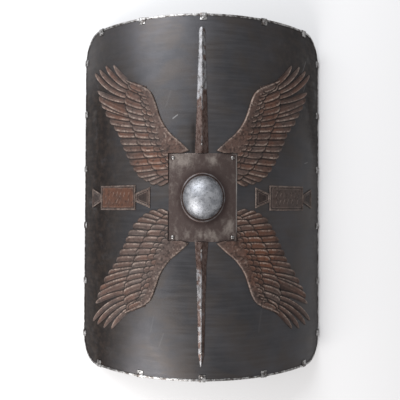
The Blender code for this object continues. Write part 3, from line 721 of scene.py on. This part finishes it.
def add_boss(paint):
    base = PLATE_TOP + GAP
    foot = base + COLLAR_THICKNESS
    inner_half, inner_rise = DOME_HALF_WIDTH - DOME_WALL, DOME_RISE + COLLAR_THICKNESS - DOME_WALL
    outer, inner = [], []
    for i in range(DOME_RINGS + 1):
        angle = 0.5 * math.pi * i / DOME_RINGS
        outer.append((DOME_HALF_WIDTH * math.sin(angle), foot + DOME_RISE * math.cos(angle)))
        inner.append((inner_half * math.sin(angle), base + inner_rise * math.cos(angle)))
    edge = DOME_HALF_WIDTH + COLLAR_WIDTH
    # The collar's radii, each with a height as a share of its thickness
    collar = (
        (DOME_HALF_WIDTH + 0.5, 0.5), (DOME_HALF_WIDTH + 1.6, 0.35), (edge - 5.0, 0.6),
        (edge - 3.6, 1.0), (edge - 2.4, 0.8), (edge - 0.3, 0.3), (edge, 0.0),
    )
    collar = [(radius, base + share * COLLAR_THICKNESS) for radius, share in collar]
    profile = outer[:-1] + collar + inner[:0:-1] + [inner[0]]
    stretch = DOME_HALF_LENGTH / DOME_HALF_WIDTH
    points, faces = turned(profile, DOME_SIDES, (0.0, CENTRE_Y), stretch)
    x, y = points[:, 0], points[:, 1]
    reach = np.hypot(x, (y - CENTRE_Y) * DOME_HALF_WIDTH / DOME_HALF_LENGTH)
    steep = np.clip(1.0 - reach / DOME_HALF_WIDTH, 0.0, 1.0)
    dent = bumps(x, y, 13.0, 31) + 0.5 * bumps(x, y, 6.0, 32)
    points[:, 2] += (0.28 * (dent - 1.5)) * np.minimum(1.0, 4.0 * steep)
    dome = smooth_step(DOME_HALF_WIDTH - reach, -0.6, 0.6)
    lip = smooth_step(reach, edge - 4.2, edge - 3.6) * smooth_step(-reach, -edge + 1.8, -edge + 2.6)
    lip *= 0.3 + 0.25 * bumps(x, y, 11.0, 33)
    values = {"dome": np.maximum(dome, lip)}
    add_piece("boss_finish", points, faces, paint, values, smooth=60.0)


def add_rivet(name, centre, radius, rise, base, paint, seed):
    """A rivet's head, tilted a little by hand work"""
    points, faces = turned(dome_profile(radius, rise, base), RIVET_SIDES, centre)
    rng = np.random.default_rng(seed)
    tilt = rng.uniform(-0.06, 0.06, 2)
    raised = points[:, 2] > base + 0.01
    offset = points[:, :2] - np.array(centre)
    points[:, 2] += np.where(raised, offset @ tilt - 0.06 * radius, 0.0)
    add_piece(name + "_finish", points, faces, paint)


def add_plate_rivets(paint):
    dx, dy = PLATE_HALF_WIDTH - PLATE_RIVET_INSET, PLATE_HALF_LENGTH - PLATE_RIVET_INSET
    corners = (("top_left", -1, 1), ("top_right", 1, 1), ("bottom_left", -1, -1), ("bottom_right", 1, -1))
    for seed, (corner, sx, sy) in enumerate(corners, 40):
        name, centre = "plate_rivet_" + corner, (sx * dx, CENTRE_Y + sy * dy)
        add_rivet(name, centre, PLATE_RIVET_RADIUS, PLATE_RIVET_RISE, PLATE_TOP + GAP, paint, seed)


# Spines
SPINE_SHIFT = -3.0
SPINE_EDGE = 1.4
SPINE_RIDGE = 6.0
SPINE_WIDE = 17.3
SPINE_MIDDLE = 12.3
SPINE_NARROW = 7.3
SPINE_STEP = 1.2
SPINE_JOINT_AT = 117.0
SPINE_RIVET_RADIUS = 3.0
SPINE_RIVET_RISE = 2.2


def add_spine(name, stations, paint, seed):
    """Stations are places along the length with half widths and ridge heights"""
    ys, halves, ridges = (np.array(v, float) for v in zip(*sorted(stations)))
    s = np.arange(-24.0, 20.0, 0.9)
    y = np.arange(ys[0] - 4.0, ys[-1] + 4.0, 2.2)
    y = np.unique(np.concatenate([y, ys]))
    S, Y = np.meshgrid(s, y)
    half = np.interp(Y, ys, halves) + 0.25 * bumps(Y, 0.0 * Y, 16.0, seed)
    ridge = np.interp(Y, ys, ridges)
    off = S - SPINE_SHIFT - 0.35 * bumps(Y, 0.0 * Y, 45.0, seed + 1)
    ends = np.minimum(Y - ys[0], ys[-1] - Y)
    inside = np.minimum(half - np.abs(off), ends)
    share = np.clip(np.sqrt(off**2 + 0.8) / np.maximum(half, 1.0), 0.0, 1.0)
    top = GAP + SPINE_EDGE + (ridge - SPINE_EDGE) * (1.0 - share) + 0.12 * bumps(S, Y, 7.0, seed + 2)
    top -= 0.5 * smooth_step(-inside, -1.0, 0.0)
    points, faces, found = relief(s, y, inside, top, np.full_like(S, GAP))
    # Worn bright metal towards the far ends, with painted light: the left facet is kept lighter and the
    # right facet darker, as the light falls; the crest line is worn too.
    right = smooth_step(off, 0.5, 2.0)
    upper_wear_and_facet_light = smooth_step(Y, 205.0, 285.0) * (1.0 - 0.4 * right)
    lower_wear_and_facet_light = 0.5 * smooth_step(-Y, 125.0, 215.0) * (1.0 - 0.9 * right)
    far = np.where(Y > 0.0, upper_wear_and_facet_light, lower_wear_and_facet_light)
    crest = 0.3 * bell(off, 1.3)
    wear = np.clip(far + crest + 0.25 * bumps(S, Y, 12.0, seed + 3), 0.0, 1.0)
    add_piece(name + "_finish", points, faces, paint, carried(found, wear=wear))


def add_spines(paint, rivet):
    upper_low, upper_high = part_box("spine_upper")
    lower_low, lower_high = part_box("spine_lower")
    top, top_end = upper_low.y / MM, upper_high.y / MM
    low, low_end = lower_high.y / MM, lower_low.y / MM
    joint = low - SPINE_JOINT_AT
    upper = [
        (top, SPINE_WIDE, SPINE_RIDGE), (0.5 * (top + top_end), SPINE_MIDDLE, SPINE_RIDGE),
        (top_end - 7.0, SPINE_NARROW, 0.8 * SPINE_RIDGE), (top_end - 2.0, 5.5, 0.65 * SPINE_RIDGE),
        (top_end, 2.6, 0.4 * SPINE_RIDGE),
    ]
    lower = [
        (low, SPINE_WIDE, SPINE_RIDGE), (low - 70.0, SPINE_MIDDLE, SPINE_RIDGE),
        (joint, SPINE_MIDDLE, SPINE_RIDGE), (joint - 0.4, 11.1, SPINE_RIDGE - SPINE_STEP),
        (low_end + 30.0, SPINE_NARROW, SPINE_RIDGE - SPINE_STEP), (low_end, 1.4, 2.2),
    ]
    add_spine("spine_upper", upper, paint, 50)
    add_spine("spine_lower", lower, paint, 60)
    rivets = ("upper_near", "upper_far", "lower_near", "lower_far", "lower_end")
    for seed, place in enumerate(rivets, 70):
        name = "spine_rivet_" + place
        corner_low, corner_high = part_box(name)
        centre = (SPINE_SHIFT, 0.5 * (corner_low.y + corner_high.y) / MM)
        base = corner_low.z / MM - BOARD_HIGH.z / MM
        add_rivet(name, centre, SPINE_RIVET_RADIUS, SPINE_RIVET_RISE, base, rivet, seed)


# Tablets
TABLET_HALF_WIDTH = 62.8
TABLET_HALF_LENGTH = 33.3
TABLET_FRAME = 5.5
HANDLE_REACH = 42.5
HANDLE_NARROW = 11.3
HANDLE_WIDE = 27.8
TABLET_GROUND = 1.9
TABLET_RISE = 1.75
STROKE_RISE = 0.75


def handle_inside(S, Y):
    slope = (HANDLE_WIDE - HANDLE_NARROW) / HANDLE_REACH
    half = HANDLE_NARROW + slope * (np.abs(S) - TABLET_HALF_WIDTH)
    side = (half - np.abs(Y)) / math.hypot(1.0, slope)
    return np.minimum(side, TABLET_HALF_WIDTH + HANDLE_REACH - np.abs(S))


def add_tablet(name, sign, paint, seed):
    reach = TABLET_HALF_WIDTH + HANDLE_REACH
    middle = sign * 0.5 * (PLATE_HALF_WIDTH + 0.2 + HALF_ARC)
    s = np.linspace(-reach - 3.0, reach + 3.0, 240)
    y = np.linspace(-TABLET_HALF_LENGTH - 3.0, TABLET_HALF_LENGTH + 3.0, 82)
    S, Y = np.meshgrid(s, y)
    panel = np.minimum(TABLET_HALF_WIDTH - np.abs(S), TABLET_HALF_LENGTH - np.abs(Y))
    panel += 0.35 * bumps(S, Y, 15.0, seed)
    handle = handle_inside(S, Y) + 0.3 * bumps(S, Y, 9.0, seed + 1)
    handle = np.where(np.abs(S) > TABLET_HALF_WIDTH - 2.0, handle, -9.0)
    inside = np.maximum(panel, handle)
    span = np.where(panel > 0.0, panel, np.minimum(handle, np.abs(S) - TABLET_HALF_WIDTH + 0.6))
    frame_up = smooth_step(span, 0.2, 1.6) * (1.0 - smooth_step(span, TABLET_FRAME - 2.0, TABLET_FRAME))
    frame_up *= 1.0 - 0.35 * bell(span - 2.9, 0.8)
    second = 0.5 * bell(span - TABLET_FRAME - 2.8, 0.9)
    marks = stroke_marks(S, Y, seed + 2)
    rough = 0.16 * bumps(S, Y, 5.0, seed + 3) + 0.2 * bumps(S, Y, 13.0, seed + 4)
    top = TABLET_GROUND + TABLET_RISE * frame_up + second + STROKE_RISE * marks
    top += rough * (1.0 - 0.6 * frame_up) - 0.3
    points, faces, found = relief(s, y, inside, top, np.full_like(S, GAP))
    worn_line = bell(span - 1.6, 0.9) + 0.7 * bell(span - 4.1, 0.9)
    worn_line *= 0.9 + 0.5 * bumps(S, Y, 12.0, seed + 5)
    worn_mark = 0.75 * marks * smooth_step(bumps(S, Y, 9.0, seed + 7), -0.6, 0.6)
    wear = np.clip(worn_line + worn_mark + 0.7 * second, 0.0, 1.0)
    # Painted shade in the recesses found from the heights; the frame's groove and the sunken fields inside
    # it are darkened too, except on the bead just inside the frame.
    deep = np.clip(smooth_step(-(top - blurred(top, 3.0)), 0.08, 0.55) * 0.9, 0.0, 0.9)
    hollow = np.where(np.abs(S) > TABLET_HALF_WIDTH, 0.7, 0.2) * smooth_step(span, 4.6, 6.2)
    hollow += 0.75 * bell(span - 2.9, 0.7)
    deep = np.maximum(deep, hollow * (1.0 - np.minimum(second / 0.5, 1.0)))
    rusty = smooth_step(panel, TABLET_FRAME - 1.0, TABLET_FRAME + 2.0)
    tone = 0.4 * bumps(S, Y, 14.0, seed + 6) + np.where(sign < 0, 0.6 - 2.2 * rusty, 1.1)
    values = carried(found, wear=wear, deep=deep, tone=tone)
    points[:, 0] += middle
    points[:, 1] += CENTRE_Y
    add_piece(name + "_finish", points, faces, paint, values)


def stroke_marks(S, Y, seed):
    """Two rows of short slanted strokes, which spell nothing"""
    rng = np.random.default_rng(seed)
    marks = np.zeros_like(S)
    for row in (9.0, -9.0):
        for k in range(7):
            x = -39.0 + 13.0 * k + rng.uniform(-1.5, 1.5)
            lean = rng.uniform(0.25, 0.5)
            half = rng.uniform(4.6, 6.6)
            along = Y - row
            off = S - x - lean * along
            reach = np.hypot(off, np.maximum(np.abs(along) - half, 0.0))
            marks = np.maximum(marks, 1.0 - smooth_step(reach, 0.6, 1.9))
    return marks


# Wings
def curve_points(points, count):
    """Evenly spaced places on a smooth line through the points"""
    points = np.array(points, float)
    padded = np.concatenate([[2 * points[0] - points[1]], points, [2 * points[-1] - points[-2]]])
    dense = []
    for i in range(len(points) - 1):
        p0, p1, p2, p3 = padded[i:i + 4]
        for t in np.linspace(0.0, 1.0, 12, endpoint=False):
            dense.append(0.5 * (
                2 * p1 + (p2 - p0) * t + (2 * p0 - 5 * p1 + 4 * p2 - p3) * t**2
                + (3 * p1 - p0 - 3 * p2 + p3) * t**3
            ))
    dense.append(points[-1])
    dense = np.array(dense)
    walked = np.concatenate([[0.0], np.cumsum(np.hypot(*np.diff(dense, axis=0).T))])
    at = np.linspace(0.0, walked[-1], count)
    return np.stack([np.interp(at, walked, dense[:, 0]), np.interp(at, walked, dense[:, 1])], 1)


def line_distance(S, Y, line):
    distance = np.full_like(S, 1e9)
    for a, b in zip(line[:-1], line[1:]):
        d = b - a
        t = np.clip(((S - a[0]) * d[0] + (Y - a[1]) * d[1]) / (d @ d), 0.0, 1.0)
        distance = np.minimum(distance, np.hypot(S - a[0] - t * d[0], Y - a[1] - t * d[1]))
    return distance


def polygon_inside(S, Y, ring):
    odd = np.zeros(S.shape, bool)
    for a, b in zip(ring, np.roll(ring, -1, 0)):
        if a[1] != b[1]:
            cross = (a[1] > Y) != (b[1] > Y)
            odd ^= cross & (S < (b[0] - a[0]) * (Y - a[1]) / (b[1] - a[1]) + a[0])
    closed = np.concatenate([ring, ring[:1]])
    return np.where(odd, 1.0, -1.0) * line_distance(S, Y, closed)


def lay_over(wing, part, inside, **looks):
    """Covers part of the wing's grids with new numbers, within an outline"""
    over = smooth_step(inside, -0.65, 0.65)
    for key, value in looks.items():
        wing[key][part] = wing[key][part] * (1.0 - over) + value * over
    wing["inside"][part] = np.maximum(wing["inside"][part], inside)


def curve_at(t, a, c, b):
    """Place and direction at t on the curve from a to b that is drawn towards c"""
    at = [(1 - t) ** 2 * a[k] + 2 * t * (1 - t) * c[k] + t**2 * b[k] for k in (0, 1)]
    go = [2 * (1 - t) * (c[k] - a[k]) + 2 * t * (b[k] - c[k]) for k in (0, 1)]
    return at, go


def lay_feather(wing, root, bow, tip, row, tone):
    """Lays one feather over what is there, the edge that faces the shield's middle on top"""
    points = np.array((root, bow, tip), float)
    a, c, b = points
    wide = row.half + 6.0
    low, high = points.min(0) - wide, points.max(0) + wide
    i = slice(*np.searchsorted(wing["s"], (low[0], high[0])))
    j = slice(*np.searchsorted(wing["y"], (low[1], high[1])))
    part = (j, i)
    S, Y = wing["S"][part], wing["Y"][part]
    chord = b - a
    t = ((S - a[0]) * chord[0] + (Y - a[1]) * chord[1]) / (chord @ chord)
    # Each round brings t nearer to the curve's closest place
    for _ in range(5):
        at, go = curve_at(t, a, c, b)
        turn = [2 * (b[k] - 2 * c[k] + a[k]) for k in (0, 1)]
        off = [at[0] - S, at[1] - Y]
        slope = go[0] ** 2 + go[1] ** 2 + off[0] * turn[0] + off[1] * turn[1]
        t = np.clip(t - (off[0] * go[0] + off[1] * go[1]) / np.maximum(slope, 1.0), -0.3, 1.3)
    at, go = curve_at(t, a, c, b)
    length = 0.5 * (np.hypot(*chord) + np.hypot(*(c - a)) + np.hypot(*(b - c)))
    side = ((Y - at[1]) * go[0] - (S - at[0]) * go[1]) / np.hypot(*go)
    left = length * (1.0 - t)
    rounding = np.where(side < 0.0, row.inner_round, row.outer_round)
    taper = np.clip(1.0 - left / rounding, 0.0, 1.0)
    half = row.half * np.sqrt(np.maximum(1.0 - taper**2, 0.0))
    inside = (half - np.abs(side)) * (1.0 - 0.35 * taper)
    inside = np.where(left < 0.0, -np.hypot(side, left), inside)
    inside = np.minimum(inside, (t + 0.02) * length)
    share = np.clip(side / row.half, -1.0, 1.0)
    exposed = np.maximum(smooth_step(-share, -0.2, 0.4), 0.6 * smooth_step(taper, 0.1, 0.5))
    bead = bell(inside - row.bead_in, 0.75 * row.bead_in) * exposed
    quill = bell(side, 0.9) * smooth_step(left, 3.0, 12.0)
    barbs = np.sin(2.0 * math.pi * (0.8 * left + 1.0 * np.abs(side)) / 3.4)
    height = row.level - row.tilt * share + row.crown * (1.0 - share**2)
    height += row.bead * bead + row.quill * quill + 0.06 * barbs * smooth_step(inside, 1.5, 3.5)
    height -= 1.1 * (1.0 - smooth_step(inside, 0.0, 1.5))
    worn = np.maximum(bead, 0.45 * quill) * smooth_step(left, -2.0, row.fade)
    # Painted shadow just outside the middle-facing edge of each feather, on the feather beneath it.
    under = bell(np.minimum(inside + 0.6, 0.0), 1.9) * exposed
    wing["deep"][part] = np.maximum(wing["deep"][part], under)
    # Painted shade: darker towards each feather's tip and across to its outer side, away from the edge that
    # faces the middle.
    painted_shade = 0.45 * (1.0 - smooth_step(left, 0.0, 1.4 * row.fade)) + 0.6 * smooth_step(share, -0.35, 0.7)
    lay_over(wing, part, inside, top=height, edge=worn, tone=tone, deep=painted_shade)


def lay_row(wing, tips, roots_at, row, rng):
    """A row of feathers whose roots reach to the line roots_at, given as s at each y"""
    root_y, root_s = np.array(roots_at, float).T[::-1]
    for tip in tips:
        tip = np.array(tip, float) + rng.uniform(-1.3, 1.3, 2)
        lean = math.radians(np.interp(tip[1], FEATHER_LEAN_AT, FEATHER_LEAN) + rng.uniform(-2.0, 2.0))
        ahead = np.array((math.cos(lean), math.sin(lean)))
        root = tip - 40.0 * ahead
        for _ in range(3):
            length = (tip[0] - np.interp(root[1], root_y, root_s) + row.tuck) / ahead[0]
            root = tip - length * ahead
        bow = 0.5 * (root + tip) + row.bow * length * np.array((ahead[1], -ahead[0]))
        lay_feather(wing, root, bow, tip, row, rng.uniform(-1.0, 1.0))


def lay_body(wing, seed):
    """The smooth upper arm along the leading edge, over the roots of the scales"""
    S, Y = wing["S"], wing["Y"]
    edge = curve_points(LEADING_EDGE, 60)
    back = curve_points(BODY_LINE, 50)[::-1]
    inside = polygon_inside(S, Y, np.concatenate([edge, back]))
    away = line_distance(S, Y, edge)
    height = 3.6 + 2.0 * smooth_step(away, 0.0, 3.2) - 0.9 * smooth_step(away, 6.0, 26.0)
    height += 0.22 * bumps(S, Y, 4.5, seed) + 0.25 * bumps(S, Y, 12.0, seed + 1)
    height -= 0.5 * (1.0 - smooth_step(inside, 0.0, 1.5))
    speck = 0.6 * smooth_step(bumps(S, Y, 4.0, seed + 2), 0.3, 0.75)
    pits = 0.6 * smooth_step(bumps(S, Y, 5.0, seed + 3), 0.25, 0.8)
    worn = np.maximum(bell(away - 2.2, 1.5), speck)
    lay_over(wing, slice(None), inside, top=height, edge=worn, tone=0.5, deep=pits)


def draw_wing(seed):
    """Grids of heights and looks for one wing, drawn as the upper right one"""
    s = np.arange(WING_START, WING_REACH_S, WING_STEP)
    y = np.arange(WING_START, WING_REACH_Y, WING_STEP)
    S, Y = np.meshgrid(s, y)
    wing = {"s": s, "y": y, "S": S, "Y": Y, "inside": np.full_like(S, -60.0)}
    for key in ("top", "edge", "tone", "deep"):
        wing[key] = np.zeros_like(S)
    rng = np.random.default_rng(seed)
    lay_row(wing, SECONDARY_TIPS, COVERT_LINE, SECONDARY, rng)
    for root, bow, tip in PRIMARIES:
        tip = np.array(tip) + rng.uniform(-1.2, 1.2, 2)
        lay_feather(wing, root, bow, tip, PRIMARY, rng.uniform(-1.0, 1.0))
    lay_row(wing, curve_points(COVERT_LINE, 16), SCALE_LINE, COVERT, rng)
    lay_row(wing, curve_points(SCALE_LINE, 15), BODY_LINE, SCALE, rng)
    scale_line, body_line = curve_points(SCALE_LINE, 16), curve_points(BODY_LINE, 16)
    lay_row(wing, 0.45 * scale_line + 0.55 * body_line, BODY_LINE, INNER_SCALE, rng)
    lay_body(wing, seed + 1)
    room = np.maximum(S - PLATE_HALF_WIDTH - WING_CLEARANCE, Y - PLATE_HALF_LENGTH - WING_CLEARANCE)
    wing["inside"] = np.minimum(wing["inside"], room)
    return wing


# Each wing's name and signs, and its rustier places: middle, half widths and strength
WINGS = (
    ("wing_upper_right", 1, 1, [(165, 170, 60, 70, 0.7)]),
    ("wing_upper_left", -1, 1, [(140, 96, 44, 34, 2.0), (230, 240, 60, 60, 0.5)]),
    ("wing_lower_right", 1, -1, [(165, 160, 44, 66, 2.3), (110, 110, 30, 20, 1.2)]),
    ("wing_lower_left", -1, -1, [(160, 150, 90, 110, -0.5), (260, 240, 50, 40, 0.9)]),
)


def add_wing(name, sx, sy, red, paint, seed):
    wing = draw_wing(seed)
    S, Y = wing["S"], wing["Y"]
    tone = 0.6 * wing["tone"] - spots(S, Y, red)
    top = np.maximum(wing["top"], 0.8) + GAP + 0.06 * bumps(S, Y, 3.5, seed + 5)
    points, faces, found = relief(wing["s"], wing["y"], wing["inside"], top, np.full_like(top, GAP))
    lift = top - blurred(top, 3.2 / WING_STEP)
    fade = 0.75 + 0.45 * bumps(S, Y, 27.0, seed + 6)
    wear = np.clip((0.85 * wing["edge"] + smooth_step(lift, 0.1, 0.8) * 0.3) * fade, 0.0, 1.0)
    # Painted shade carried on: the shadows under feather edges, the darker tips and outer sides of the
    # feathers, and more darkening in the recesses found from the heights; the arm's dark pits are real
    # marks.
    deep = np.clip(0.9 * wing["deep"] + smooth_step(-lift, 0.1, 0.8) * 0.5, 0.0, 0.97)
    values = carried(found, wear=wear, deep=deep, tone=tone)
    share = 1.0 if sy > 0 else LOWER_WING_SHARE
    points[:, 0] *= sx
    points[:, 1] = CENTRE_Y + points[:, 1] * sy * share
    if sx * sy < 0:
        faces = [face[::-1] for face in faces]
    add_piece(name + "_finish", points, faces, paint, values, smooth=75.0)


# Grip, a bar behind the hand hole whose flat pads are riveted to the board's back
GRIP_PAD_THICKNESS = 2.5
GRIP_PAD_START = 10.0
GRIP_HALF_WIDTH = 12.0
GRIP_THICKENING = 4.3
GRIP_NARROWING = 1.6
GRIP_DROP = 12.0
GRIP_BEND_LENGTH = 16.0
GRIP_RIVET_RADIUS = 5.5
GRIP_RIVET_RISE = 3.0
GRIP_RIVET_IN = 15.0


def add_grip(paint):
    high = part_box("grip")[1]
    pad_out = BEND_RADIUS * math.asin(high.x / MM / (BEND_RADIUS + BACK - GAP)) - 0.2
    pad_in = DOME_HALF_WIDTH - DOME_WALL - HOLE_LEDGE - HAND_HOLE_LEDGE + GRIP_PAD_START
    top = BACK - GAP
    stations = [
        np.linspace(-pad_out, -pad_in, 8), np.linspace(-pad_in + 1, pad_in - 1, 49),
        np.linspace(pad_in, pad_out, 8),
    ]
    sections = []
    for s in np.concatenate(stations):
        fall = float(smooth_step(pad_in - abs(s), 0.0, GRIP_BEND_LENGTH))
        thick = GRIP_PAD_THICKNESS + GRIP_THICKENING * fall
        end = smooth_step(pad_out - abs(s), 0.0, 8.0)
        half = (GRIP_HALF_WIDTH - GRIP_NARROWING * fall) * (0.55 + 0.45 * math.sqrt(end))
        upper = top - 0.1 - GRIP_DROP * fall
        corner = 0.45 * thick
        section = []
        for k in range(16):
            angle = 2.0 * math.pi * (k + 0.5) / 16
            across = math.copysign(half - corner, math.cos(angle)) + corner * math.cos(angle)
            up = math.copysign(0.5 * thick - corner, math.sin(angle)) + corner * math.sin(angle)
            section.append((s, CENTRE_Y + across, upper - 0.5 * thick + up))
        sections.append(np.array(section))
    points, faces = skin(sections, False)
    add_piece("grip_finish", points, faces, paint)
    base = top - GRIP_PAD_THICKNESS - GAP
    heads = dome_profile(GRIP_RIVET_RADIUS, GRIP_RIVET_RISE, base)
    profile = [(r, base - (h - base)) for r, h in heads]
    for side, sign in (("left", -1), ("right", 1)):
        points, faces = turned(profile, RIVET_SIDES, (sign * (pad_in + GRIP_RIVET_IN), CENTRE_Y))
        faces = [face[::-1] for face in faces]
        add_piece("grip_rivet_" + side + "_finish", points, faces, paint)


# Setting, in metres and degrees, with the place, size and colour of each light
LIGHTS = (
    ("upper_left_softbox", (-0.9, 1.45, 1.4), (1.6, 1.3), (0.95, 0.97, 1.0)),
    ("lower_left_softbox", (-1.1, -1.45, 1.3), (1.5, 1.2), (1.0, 0.98, 0.97)),
)
LIGHT_POWER = 50.0
LIGHT_TARGET = (0.0, 0.0, 0.1)
SKY_COLOUR = (0.98, 0.97, 0.985, 1.0)
SKY_STRENGTH = 0.6
FLOOR_HALF = 4.0
FLOOR_LEVEL = -0.0004
CAMERA_PLACE = (-0.017824, -0.029862, 1.307693)
CAMERA_TURN = (1.00805, -0.54231, 0.21495)
CAMERA_LENS = 39.782
SENSOR_WIDTH = 36.0


def add_light(name, place, size, colour):
    lamp = bpy.data.lights.new(name, "AREA")
    lamp.shape = "RECTANGLE"
    lamp.size, lamp.size_y = size
    lamp.energy = LIGHT_POWER
    lamp.color = colour
    obj = bpy.data.objects.new(name, lamp)
    obj.location = place
    aim = np.array(LIGHT_TARGET) - np.array(place)
    obj.rotation_euler = Vector(aim).to_track_quat("-Z", "Y").to_euler()
    bpy.context.scene.collection.objects.link(obj)


def add_setting():
    mesh = bpy.data.meshes.new("floor")
    signs = ((-1, -1), (1, -1), (1, 1), (-1, 1))
    corners = [(x * FLOOR_HALF, y * FLOOR_HALF, FLOOR_LEVEL) for x, y in signs]
    mesh.from_pydata(corners, [], [(0, 1, 2, 3)])
    mesh.materials.append(floor_paint())
    floor = bpy.data.objects.new("floor", mesh)
    bpy.context.scene.collection.objects.link(floor)
    for light in LIGHTS:
        add_light(*light)
    world = bpy.data.worlds.new("studio")
    world.use_nodes = True
    sky = world.node_tree.nodes["Background"]
    sky.inputs["Color"].default_value = SKY_COLOUR
    sky.inputs["Strength"].default_value = SKY_STRENGTH
    bpy.context.scene.world = world
    bpy.context.scene.view_settings.view_transform = "Standard"


def add_camera():
    camera = bpy.data.cameras.new("photo_view")
    camera.sensor_width = SENSOR_WIDTH
    camera.lens = CAMERA_LENS
    camera.dof.use_dof = False
    obj = bpy.data.objects.new("photo_view", camera)
    obj.location = CAMERA_PLACE
    obj.rotation_euler = [math.radians(turn) for turn in CAMERA_TURN]
    bpy.context.scene.collection.objects.link(obj)
    bpy.context.scene.camera = obj


rivet = rivet_paint()
edge = edge_paint()
relief_paint = wing_paint()
add_board(board_paint())
add_rim(edge)
add_clips(edge)
add_plate(plate_paint())
add_boss(boss_paint())
add_plate_rivets(rivet)
add_spines(spine_paint(), rivet)
add_tablet("tablet_left", -1, relief_paint, 200)
add_tablet("tablet_right", 1, relief_paint, 220)
for number, wing in enumerate(WINGS):
    add_wing(*wing, relief_paint, 300 + 20 * number)
add_grip(grip_paint())
add_setting()
add_camera()
